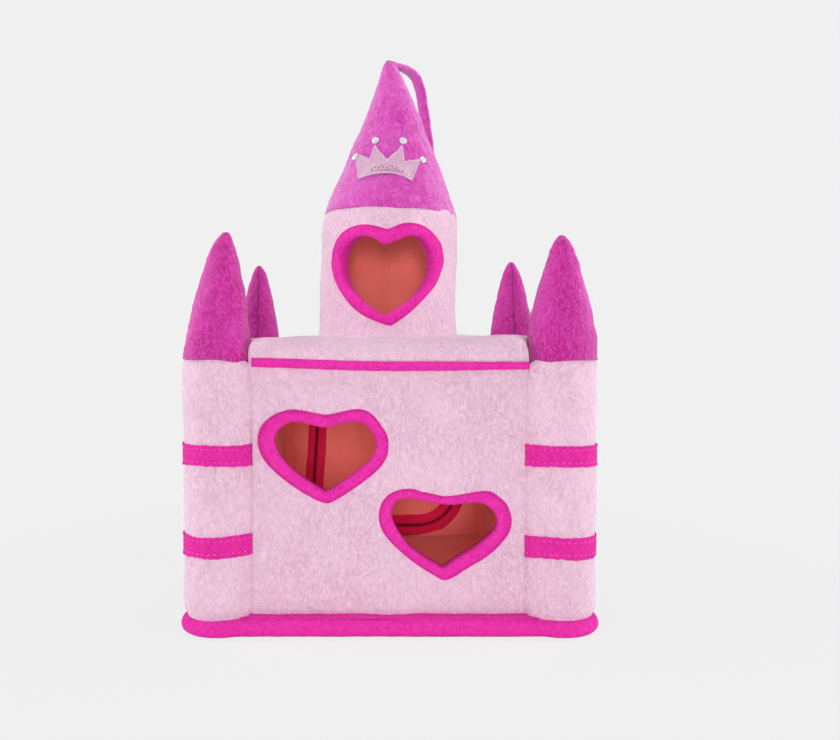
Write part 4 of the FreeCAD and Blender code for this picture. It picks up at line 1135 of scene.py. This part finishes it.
class CASTLE_OT_bands(bpy.types.Operator):
    """Wraps the felt bands round the turrets and sews them on with running stitches"""
    bl_idname = "castle.bands"
    bl_label = "Bands"

    def execute(self, context):
        sizes = context.scene.castle_sizes
        half, thick, pitch = sizes.band_height / MM / 2, sizes.band_thick / MM, sizes.stitch_pitch / MM
        for index, corner in enumerate(CORNERS):
            dashes = []
            for level, middle in (("upper", 96.0), ("lower", 48.0)):
                seed = 100 + 2 * index + (level == "upper")
                radius = np.full(240, float(turret_radius(np.array(middle))))
                plan, share = turret_ring(
                    radius[:1], np.array([9.8]), np.array([10.2]), BULGE[corner], (240, 2, 2)
                )
                path = plan[0, :240]
                out = path / np.linalg.norm(path, axis=1)[:, None]
                place = np.column_stack([path, np.zeros(240)])
                sag = {"front_left": -0.2, "front_right": -0.8}.get(corner, 0.0)
                shift = 0.45 * waves(place, 40.0, seed) + sag
                height, off = BAND.T
                height = np.concatenate([-height[::-1], height[1:], [0.97, -0.97]])
                off = np.concatenate([off[::-1], off[1:], [-0.35, -0.35]]) * thick
                tall = half * (1 + 0.03 * waves(place, 25.0, seed + 20))
                ragged = 0.16 * waves(place, 3.2, seed + 40)[:, None]
                edge = np.where(np.abs(height) > 0.8, 1, 0)[None] * ragged
                profile = np.stack([
                    np.broadcast_to(off, (240, len(off))) + edge,
                    height[None] * tall[:, None] + shift[:, None] + middle + edge * np.sign(height)[None],
                ], -1)
                side = np.column_stack([out, np.zeros(240)])
                grid = carried(place, side, np.tile([0.0, 0.0, 1.0], (240, 1)), profile)
                points, faces = bag(grid)
                sew(
                    f"{corner}_{level}_felt", "castle", "felt", (at_corner(points, corner), faces),
                    [f"{corner}_turret_{level}_band"],
                )
                far = run(place)
                spots = np.arange(1.5, far[-1] - 1.5, pitch)
                for way in (-1, 1):
                    z = middle + np.interp(spots, far, shift) + way * 0.585 * half
                    at = np.stack([np.interp(spots, far, path[:, 0]), np.interp(spots, far, path[:, 1])], 1)
                    normal = at / np.linalg.norm(at, axis=1)[:, None]
                    spot = np.column_stack([at + normal * (0.60 * thick + 0.08), z])
                    normal = np.column_stack([normal, np.zeros(len(at))])
                    along = np.stack([-normal[:, 1], normal[:, 0], np.zeros(len(at))], 1)
                    dashes.append(copies(spot, along, normal, dash(pitch * 0.6, 0.42, 0.4)))
            points, faces = joined(dashes)
            sew(f"{corner}_band_stitches", "castle", "thread", (at_corner(points, corner), faces))
        return {"FINISHED"}


# Roof


def roof_outlines():
    """The cushion's edge, bitten round by the turrets, and the edge of its flat top, point for point."""
    half_x, half_y, front_x, bite = 86.2, 98.2, 74.4, TURRET_RADIUS + 0.9
    top_x, top_y, bend = 71.8, 76.6, 14.0
    low = np.arctan2(-np.sqrt(bite**2 - (TURRET_X - half_x) ** 2), half_x - TURRET_X) + 2 * pi
    high = np.arctan2(np.sqrt(bite**2 - (TURRET_X - front_x) ** 2), front_x - TURRET_X)
    outer = around(low, high, 40, (TURRET_X, TURRET_Y), bite)
    outer = np.vstack([outer, np.stack([np.full(8, front_x), np.linspace(outer[-1, 1], half_y, 9)[1:]], 1)])
    inner = around(0, pi / 2, 48, (top_x - bend, top_y - bend), bend)
    edges = []
    for line in (outer, inner):
        corners = [line, (line * (-1, 1))[::-1], line * (-1, -1), (line * (1, -1))[::-1]]
        path = []
        for here, following in zip(corners, corners[1:] + corners[:1]):
            t = np.linspace(0, 1, 72)[1:-1, None]
            path += [here, here[-1] * (1 - t) + following[0] * t]
        edges.append(np.vstack(path))
    for _ in range(10):
        edges[0] = (np.roll(edges[0], 1, 0) + 2 * edges[0] + np.roll(edges[0], -1, 0)) / 4
    axis = np.sign(edges[0]) * (TURRET_X, TURRET_Y)
    away = np.linalg.norm(edges[0] - axis, axis=1)[:, None]
    edges[0] = axis + (edges[0] - axis) * np.maximum(1, bite / away)
    x, y = edges[0].T
    edges[0][:, 0] -= 1.7 * ease(x, 58, 73) * ease(-y, 78, 88)
    return edges


def eave(x):
    """Height of the piping's middle along the front: it hangs lower towards the right."""
    return 142.2 + 2.0 * (1 - ease(x, -78, 0)) + 0.25 * ease(x, 20, 72)


class CASTLE_OT_roof(bpy.types.Operator):
    """Sews the roof cushion and the four runs of piping under its edge"""
    bl_idname = "castle.roof"
    bl_label = "Roof"

    def execute(self, context):
        sizes = context.scene.castle_sizes
        outer, inner = roof_outlines()
        turn = np.arctan2(inner[:, 1], inner[:, 0])
        foot = np.stack([np.cos(turn), np.sin(turn)], 1) * 46.0
        rise = sizes.roof_rise / MM
        axis = np.sign(outer) * (TURRET_X, TURRET_Y)
        near = 1 - ease(np.linalg.norm(outer - axis, axis=1), TURRET_RADIUS + 1.0, TURRET_RADIUS + 7)
        share = np.linspace(0, 1, 30) ** 1.6
        climb = (1 - (1 - share[:, None]) ** (2.6 + 7 * near)) ** (0.62 - 0.2 * near)
        groove = outer - beside(outer) * (2.4 * (1 - near))[:, None]
        rows = [
            (inner * 0.5, 141.9), (inner, 141.9), (groove, 141.9),
            (groove + (outer - groove) * 0.1, 143.6), (groove + (outer - groove) * 0.5, 145.2),
        ]
        rows += [(outer + (inner - outer) * w, 146.4 + (rise - 2.2) * c) for w, c in zip(share, climb)]
        rows += [
            (inner + (foot - inner) * t, 144.2 + rise + 0.9 * ease(t, 0, 1))
            for t in np.linspace(0, 1, 18)[1:]
        ]
        rows += [(foot * k, 144.2 + rise + 0.9) for k in (0.85, 0.5)]
        grid = np.stack([np.column_stack([plan, z + np.zeros(len(plan))]) for plan, z in rows])
        front = ease(-outer[:, 1], 70, 95) * ease(np.abs(outer[:, 1]), 60, 90)
        hang = front * (eave(outer[:, 0]) - 144.2) * 0.85
        grid[2:30, :, 2] += hang * (1 - np.linspace(0, 1, 28)[:, None]) ** 2
        soft = grid[8:-3]
        soft[..., 2] += (
            0.55 * waves(soft[..., :2], 42.0, 121) + 0.10 * waves(soft[..., :2], 7.0, 122)
            + 0.9 * soft[..., 0] / 90
        ) * np.linspace(0, 1, len(soft))[:, None] ** 0.5
        sew("roof_cushion", "castle", "pale", bag(grid), ["roof_plush"])

        radius = sizes.piping_thick / MM / 2
        for index, side in enumerate(SIDES):
            half = 72.3 if side in ("front", "back") else 65.3
            x = np.linspace(-half, half, 150)
            z = eave(x) if side == "front" else 143.4 + 0.3 * waves(x[:, None], 60.0, 130 + index)
            thick = 1 - 0.22 * ease(x, 10, 75) if side == "front" else np.ones(150)
            out = WALL_OUT[side] + 0.5 + radius + 0 * x
            path = stand(side, x, z, out)
            turn = np.arange(22) * 2 * pi / 22
            body = radius * thick * (1 + 0.035 * waves(x[:, None], 12.0, 140 + index))
            profile = np.stack([body[:, None] * np.cos(turn), body[:, None] * np.sin(turn)], -1)
            way = stand(side, 0.0, 0.0, 1.0)
            grid = carried(
                path, np.tile(way, (150, 1)), np.tile([0.0, 0.0, 1.0], (150, 1)), profile
            )
            sew(f"{side}_piping", "castle", "fleece", bag(grid), [f"{side}_roof_piping"])
        return {"FINISHED"}


# Tower

TOWER_FOOT, TOWER_TOP = 157.0, 234.6
TOWER_WALL = np.array([
    (156.4, 44.3), (158.5, 43.9), (163.0, 43.2), (175.0, 42.6), (200.0, 42.4), (222.0, 42.3),
    (230.0, 41.7), (234.0, 40.6), (236.0, 39.6),
])


def tower_axis(up):
    """The tower leans a little to the right as it rises."""
    return 1.7 * ease(up, 150, 245)


def tower_radius(up, turn):
    """Radius of the tower's skin. turn is from the front to the right, and a soft fold runs down
    from each side of the window to the foot."""
    radius = np.interp(up, *TOWER_WALL.T)
    place = np.stack(np.broadcast_arrays(40 * np.sin(turn), 40 * np.cos(turn), up), -1)
    folds = hump(turn, -0.82, 0.26) * 1.5 + hump(turn, 0.72, 0.24) * 1.2
    uneven = 0.30 * waves(place, 34.0, 150) + 0.07 * waves(place, 7.0, 151)
    return radius - folds * (1 - ease(up, 158, 186)) + uneven


def on_tower(across, up, front, off):
    """Lays a strip on the tower's skin in front and on its lining behind, both by the same turn."""
    axis = tower_axis(up)
    turn = np.arcsin(np.clip((across - axis) / 42.4, -0.98, 0.98))
    radius = front * tower_radius(up, turn) + (1 - front) * tower_lining(up) + off
    return np.stack([axis + radius * np.sin(turn), -radius * np.cos(turn), up], -1)


def tower_lining(up):
    """Radius of the tower's lining, which narrows as it rises."""
    return 37.4 - 3.6 * (up - TOWER_FOOT) / (TOWER_TOP - TOWER_FOOT)


class CASTLE_OT_tower(bpy.types.Operator):
    """Sews the tower: padded skin, lining, floor and ceiling, and its bound window"""
    bl_idname = "castle.tower"
    bl_label = "Tower"

    def execute(self, context):
        opening = through(TOWER_OPENING)
        columns = 300
        turn = np.linspace(-pi, pi, columns, endpoint=False)
        for name, finish, rows, nodes, grow in (
            ("tower_pad", "pale", 84, ["tower_plush", "tower_foam"], 1.3),
            ("tower_lining_cloth", "lining", 66, ["tower_lining"], 1.0),
        ):
            up = np.linspace(156.6, 235.6, rows)
            up, around_it = np.meshgrid(up, turn, indexing="ij")
            quads = cells(rows, columns, around=True)
            axis = tower_axis(up)
            across = (axis + 42.4 * np.sin(around_it)).ravel()
            x, z = across[quads].mean(1), up.ravel()[quads].mean(1)
            hole = inside(opening, x, z, grow) & (np.cos(around_it).ravel()[quads].min(1) > 0)
            if finish == "pale":
                outer, inner = tower_radius(up, around_it), tower_lining(up) + 0.8
            else:
                behind = (around_it % (2 * pi)) - pi
                seam = 0.9 * hump(behind, 0.03, 0.05) - 0.5 * hump(behind, 0.09, 0.03)
                place = np.stack([30 * np.sin(around_it), 30 * np.cos(around_it), up], -1)
                inner = tower_lining(up) + 0.25 * waves(place, 30, 152)
                inner = inner - seam
                outer = inner + 0.6
            front = np.stack([axis + outer * np.sin(around_it), -outer * np.cos(around_it), up], -1)
            back = np.stack([axis + inner * np.sin(around_it), -inner * np.cos(around_it), up], -1)
            shape = shell(front.reshape(-1, 3), back.reshape(-1, 3), quads[~hole])
            sew(name, "castle", finish, shape, nodes)
        bind(
            "tower_window_edge", "castle", "tower_window_binding", opening, through(TOWER_BORDER),
            on_tower, 5, join=radians(-80),
        )
        for node, name, seed in (
            ("tower_floor_lining", "tower_floor_cloth", 153),
            ("tower_ceiling_lining", "tower_ceiling_cloth", 154),
        ):
            low, high = limits(node)
            radius = (high[0] - low[0]) / 2 - 0.3
            middle = (tower_axis((low[2] + high[2]) / 2), 0.0)
            edge = around(0, 2 * pi, 181, middle, radius)[:-1]
            wrinkle = lambda p, s, seed=seed: 0.25 * np.abs(waves(p, 22.0, seed)) * (1 - s**8)
            above = lambda p, s: high[2] - 0.05 + wrinkle(p, s) * (name == "tower_floor_cloth")
            below = lambda p, s: low[2] + 0.05 - wrinkle(p, s) * (name != "tower_floor_cloth")
            sew(name, "castle", "lining", pad(edge, above, below, 30, 1), [node])
        return {"FINISHED"}


# Middle and half width of the tower's cone by height
SPIRE = np.array([
    (233.0, 2.1, 41.2), (236.0, 2.1, 40.7), (239.2, 1.9, 39.7), (252.7, 2.3, 34.4), (275.0, 3.2, 25.1),
    (290.5, 3.6, 18.7), (308.0, 3.4, 11.8), (318.0, 2.6, 8.0), (324.0, 1.8, 5.6), (328.0, 1.2, 3.6),
    (330.0, 1.0, 1.7),
])


def spire(up):
    """Middle and half width of the tower's cone at a height, its corners smoothed."""
    fine = np.linspace(233.0, 330.0, 195)
    values = soften(np.stack([np.interp(fine, SPIRE[:, 0], SPIRE[:, k]) for k in (1, 2)], 1), 40)
    return np.interp(up, fine, values[:, 0]), np.interp(up, fine, values[:, 1])


def on_spire(across, up, off):
    """A place in front of the tower's cone, and the way out from it."""
    middle, radius = spire(up)
    turn = np.arcsin(np.clip((across - middle) / radius, -0.99, 0.99))
    slope = (spire(up + 1)[1] - spire(up - 1)[1]) / 2
    out = np.stack([np.sin(turn), -np.cos(turn), -slope], -1)
    out /= np.linalg.norm(out, axis=-1)[..., None]
    place = np.stack([across, -radius * np.cos(turn), up], -1)
    return place + out * np.asarray(off)[..., None], out


class CASTLE_OT_cone(bpy.types.Operator):
    """Sews the tower's stuffed cone"""
    bl_idname = "castle.cone"
    bl_label = "Tower Cone"

    def execute(self, context):
        count = 280
        turn = np.arange(count) * 2 * pi / count
        up = np.concatenate([[236.5, 234.6, 233.7, 233.3], np.linspace(233.8, 330.0, 150)])
        pull = np.array([4.5, 1.8, 0.8, 0.25])
        middle, radius = spire(np.clip(up, 233.6, 330))
        radius[:4] -= pull
        place = np.stack([
            np.sin(turn) * radius[:, None], -np.cos(turn) * radius[:, None],
            np.repeat(up[:, None], count, 1),
        ], -1)
        hem = (1 - ease(up, 233, 262))[:, None]
        drop = (-1.2 * np.sin(turn) * (1 + 0.3 * np.sin(turn)) + 0.35 * waves(place[4], 30.0, 160)) * hem
        seam_at = pi - 0.5
        away = np.abs((turn - seam_at + pi) % (2 * pi) - pi)[None] * radius[:, None]
        seam = np.exp(-((away / 1.0) ** 2))
        swell = 0.45 * waves(place, 34.0, 161) + 0.13 * waves(place, 8.0, 162)
        wide = radius[:, None] + swell * ease(radius, 2, 12)[:, None] - 0.9 * seam
        grid = np.stack([
            middle[:, None] + np.sin(turn) * wide, -np.cos(turn) * wide, up[:, None] + drop,
        ], -1)
        end = [middle[-1], 0, 330.6]
        sew("tower_peak", "castle", "orchid", bag(grid, end=end), ["tower_cone"])
        return {"FINISHED"}


class CASTLE_OT_crown(bpy.types.Operator):
    """Sews the crown on the cone: mesh, satin stitch round it, and four stones"""
    bl_idname = "castle.crown"
    bl_label = "Crown"

    def execute(self, context):
        edge = even(np.array(CROWN_EDGE), 620)
        smooth = [np.convolve(np.pad(edge[:, k], 2, "wrap"), np.ones(5) / 5, "valid") for k in (0, 1)]
        edge = even(np.stack(smooth, 1), 620)
        middle = np.array([-1.6, 258.2])
        share = np.linspace(0, 1, 26)[1:]
        plan = middle + share[:, None, None] * (edge - middle)
        grid = []
        for level in (0.35, 0.95):
            place, out = on_spire(plan[..., 0], plan[..., 1], np.full(plan.shape[:2], level))
            grid.append(place)
        grid = np.concatenate([grid[0], grid[1][::-1]])
        ends = [on_spire(*middle, np.array(level))[0] for level in (0.35, 0.95)]
        mesh = bag(grid, *ends)
        across, _, up = mesh[0].T
        foot = 1 - ease(up - 3.6 * (1 - (across / 17) ** 2), 251.2, 253.6)
        foot = foot * (1 - ease(np.abs(across + 1), 6, 12))
        dome = bag(np.stack([
            np.column_stack([oval(r, r, 8), np.full(8, h)])
            for r, h in ((0.42, -0.1), (0.42, 0.08), (0.25, 0.2))
        ]))
        parts, none = [mesh], np.zeros(len(foot))
        marks = {"foot": [foot], "bright": [none], "dull": [none]}
        # Sequins with the bright mark carry a painted glint
        for mark, spots in (("bright", GLINTING_SEQUINS), ("dull", DARK_SEQUINS)):
            place, out = on_spire(*np.array(spots).T, np.full(len(spots), 1.0))
            along = np.cross((0.0, 0.0, 1.0), out)
            parts.append(copies(place, along / np.linalg.norm(along, axis=1)[:, None], out, dome))
            for key in marks:
                marks[key].append(np.full(len(parts[-1][0]), float(key == mark)))
        marks = {key: np.concatenate(values) for key, values in marks.items()}
        sew("crown_net", "castle", "net", joined(parts), ["crown_mesh"], marks=marks)

        place, out = on_spire(edge[:, 0], edge[:, 1], np.full(len(edge), 0.85))
        way = ahead(place)
        side = np.cross(way, out)
        profile = oval(0.56, 0.62, 12)
        grid = carried(place, side, out, profile)
        along = np.repeat(run(place)[:, None], 12, 1)
        sew("crown_edge", "castle", "satin", ring(grid), ["crown_stitching"], marks={"along": along})

        radius = context.scene.castle_sizes.stone / MM / 2
        turn = np.arange(10) * 2 * pi / 10
        cut = [(0.70, -0.6, 0), (1.0, 0.1, 0), (1.0, 0.45, 0), (0.72, 1.25, 0.5), (0.40, 1.65, 0)]
        gem = bag(np.stack([
            np.stack([
                radius * r * np.cos(turn + k * pi / 10), radius * r * np.sin(turn + k * pi / 10),
                np.full(10, h),
            ], 1)
            for r, h, k in cut
        ]))
        spots = np.array(STONES)
        place, out = on_spire(spots[:, 0], spots[:, 1], np.full(4, -0.1))
        up = np.tile([0.1, 0.0, 1.0], (4, 1))
        along = np.cross(up, out)
        along /= np.linalg.norm(along, axis=1)[:, None]
        sew("stones", "castle", "stone", copies(place, along, out, gem), ["crown_stones"], sharp=5)
        return {"FINISHED"}


# The carry loop's middle line in its own plane: distance from the cone's axis, and height
LOOP = np.array([
    (0.0, 327.9), (14.0, 329.6), (28.0, 328.6), (34.0, 322.0), (40.5, 298.0), (46.8, 268.5),
    (44.5, 252.0), (39.6, 236.5),
])


class CASTLE_OT_loop(bpy.types.Operator):
    """Sews the carry loop from the cone's tip to the back of its foot"""
    bl_idname = "castle.loop"
    bl_label = "Carry Loop"

    def execute(self, context):
        azimuth = radians(50)
        way = np.array([cos(azimuth), sin(azimuth), 0.0])
        line = soften(even(LOOP, 170, closed=False), 90)
        path = line[:, :1] * way + line[:, 1:] * (0, 0, 1)
        path += np.outer(1 - ease(run(path), 0, 12), (1.0, 0, 0))
        forward = ahead(path, closed=False)
        side = np.tile(np.cross(way, (0, 0, 1.0)), (len(path), 1))
        out = np.cross(side, forward)
        turn = np.arange(36) * 2 * pi / 36
        along = run(path)
        wide = 3.75 * (1 + 0.03 * waves(along[:, None], 25.0, 170))
        shape = np.stack([
            wide[:, None] * np.sign(np.cos(turn)) * np.abs(np.cos(turn)) ** 0.6,
            1.75 * np.sign(np.sin(turn)) * np.abs(np.sin(turn)) ** 0.75 * np.ones((len(path), 1)),
        ], -1)
        shape[..., 1] += 0.12 * waves(along[:, None], 9.0, 171)[:, None]
        strap = bag(carried(path, side, out, shape))
        sew("carry_strap", "castle", "orchid", strap, ["carry_loop"])
        return {"FINISHED"}


class CASTLE_OT_inside(bpy.types.Operator):
    """Gives the stiff boards inside their finish"""
    bl_idname = "castle.inside"
    bl_label = "Inside"

    def execute(self, context):
        for node, finish in (("base_board", "board"), ("roof_board", "board")):
            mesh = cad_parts[node].data
            mesh.materials.clear()
            mesh.materials.append(material(finish))
        return {"FINISHED"}


class CASTLE_OT_stage(bpy.types.Operator):
    """Sets the floor, the backdrop, the lamps and the camera"""
    bl_idname = "castle.stage"
    bl_label = "Stage"

    def execute(self, context):
        scene = context.scene
        backdrop = tuple(scene.castle_colours.floor)
        f = Finish("floor")
        seen = f.add("ShaderNodeLightPath", output="Is Camera Ray")
        away = f.add("ShaderNodeVectorMath", {"operation": "LENGTH"}, {0: f.place()}, output="Value")
        plain = f.add("ShaderNodeEmission", inputs={"Color": (*backdrop, 1), "Strength": 1.0})
        lit = f.add("ShaderNodeBsdfDiffuse", inputs={"Color": (*backdrop, 1)})
        share = seen * (0.9 + 0.1 * away.step(180, 420))
        both = f.add("ShaderNodeMixShader", inputs={0: share, 1: lit, 2: plain})
        f.add("ShaderNodeOutputMaterial", inputs={"Surface": both})
        size = 4.0
        mesh = bpy.data.meshes.new("floor")
        corners = [(-size, -size, 0), (size, -size, 0), (size, size, 0), (-size, size, 0)]
        mesh.from_pydata(corners, [], [(0, 1, 2, 3)])
        mesh.materials.append(f.material)
        floor = bpy.data.objects.new("floor", mesh)
        scene.collection.objects.link(floor)

        world = bpy.data.worlds.new("studio")
        scene.world = world
        world.use_nodes = True
        nodes, links = world.node_tree.nodes, world.node_tree.links
        nodes.clear()
        path = nodes.new("ShaderNodeLightPath")
        shown = nodes.new("ShaderNodeMath")
        shown.operation = "MAXIMUM"
        links.new(path.outputs["Is Camera Ray"], shown.inputs[0])
        links.new(path.outputs["Is Glossy Ray"], shown.inputs[1])
        soft, plain = (nodes.new("ShaderNodeBackground") for _ in range(2))
        soft.inputs["Color"].default_value = (1.0, 0.985, 0.99, 1)
        soft.inputs["Strength"].default_value = 0.26
        plain.inputs["Color"].default_value = (*backdrop, 1)
        mix = nodes.new("ShaderNodeMixShader")
        links.new(shown.outputs[0], mix.inputs[0])
        links.new(soft.outputs[0], mix.inputs[1])
        links.new(plain.outputs[0], mix.inputs[2])
        out = nodes.new("ShaderNodeOutputWorld")
        links.new(mix.outputs[0], out.inputs["Surface"])

        # Each lamp's place, what it points at, its side in metres and its power in watts. The last
        # two stand for light that comes back from the linings.
        for name, place, target, side, power in (
            ("key", (-0.03, -1.5, 0.27), (0, 0, 0.14), 0.28, 10.6),
            ("left", (-1.15, -0.02, 0.5), (0, 0, 0.14), 0.7, 7.1),
            ("right", (1.15, 0.0, 0.5), (0, 0, 0.14), 0.7, 8.1),
            ("top", (0.0, -0.3, 1.4), (0, 0, 0.14), 0.7, 5.5),
            ("room", (0.0, -0.06, 0.11), (0, 0.09, 0.055), 0.08, 0.06),
            ("tower", (0.0, -0.01, 0.212), (0, 0.035, 0.19), 0.03, 0.0045),
        ):
            lamp = bpy.data.lights.new(name, "AREA")
            lamp.energy, lamp.size, lamp.color = power, side, (1.0, 0.99, 0.98)
            light = bpy.data.objects.new(name, lamp)
            scene.collection.objects.link(light)
            towards = Vector(target) - Vector(place)
            light.rotation_euler = towards.to_track_quat("-Z", "Y").to_euler()
            light.location = place

        view = bpy.data.cameras.new("camera")
        view.sensor_width, view.lens, view.shift_x = 36.0, 37.753, 0.0574
        view.clip_start, view.clip_end = 0.01, 20.0
        camera = bpy.data.objects.new("camera", view)
        camera.location = (-0.00967, -0.55667, 0.1558)
        camera.rotation_euler = (pi / 2 - 0.034, 0, 0)
        scene.collection.objects.link(camera)
        scene.camera = camera
        scene.view_settings.view_transform = "Standard"
        return {"FINISHED"}


PIECES = (
    CASTLE_OT_base, CASTLE_OT_walls, CASTLE_OT_linings, CASTLE_OT_windows, CASTLE_OT_door,
    CASTLE_OT_turrets, CASTLE_OT_bands, CASTLE_OT_roof, CASTLE_OT_tower, CASTLE_OT_cone,
    CASTLE_OT_crown, CASTLE_OT_loop, CASTLE_OT_inside, CASTLE_OT_stage,
)


class CASTLE_PT_pieces(bpy.types.Panel):
    """Lists the castle's sizes, colours and pieces"""
    bl_label = "Plush Toy Castle"
    bl_idname = "CASTLE_PT_pieces"
    bl_space_type = "VIEW_3D"
    bl_region_type = "UI"
    bl_category = "Castle"

    def draw(self, context):
        for group in (context.scene.castle_sizes, context.scene.castle_colours):
            box = self.layout.box()
            for key in group.__annotations__:
                box.prop(group, key)
        for piece in PIECES:
            self.layout.operator(piece.bl_idname)


CLASSES = (CastleSizes, CastleColours, *PIECES, CASTLE_PT_pieces)


def register():
    for cls in CLASSES:
        bpy.utils.register_class(cls)
    bpy.types.Scene.castle_sizes = PointerProperty(type=CastleSizes)
    bpy.types.Scene.castle_colours = PointerProperty(type=CastleColours)


def unregister():
    del bpy.types.Scene.castle_sizes, bpy.types.Scene.castle_colours
    for cls in reversed(CLASSES):
        bpy.utils.unregister_class(cls)


def main():
    register()
    for piece in PIECES:
        getattr(bpy.ops.castle, piece.bl_idname.split(".")[1])()


if __name__ == "__main__":
    main()
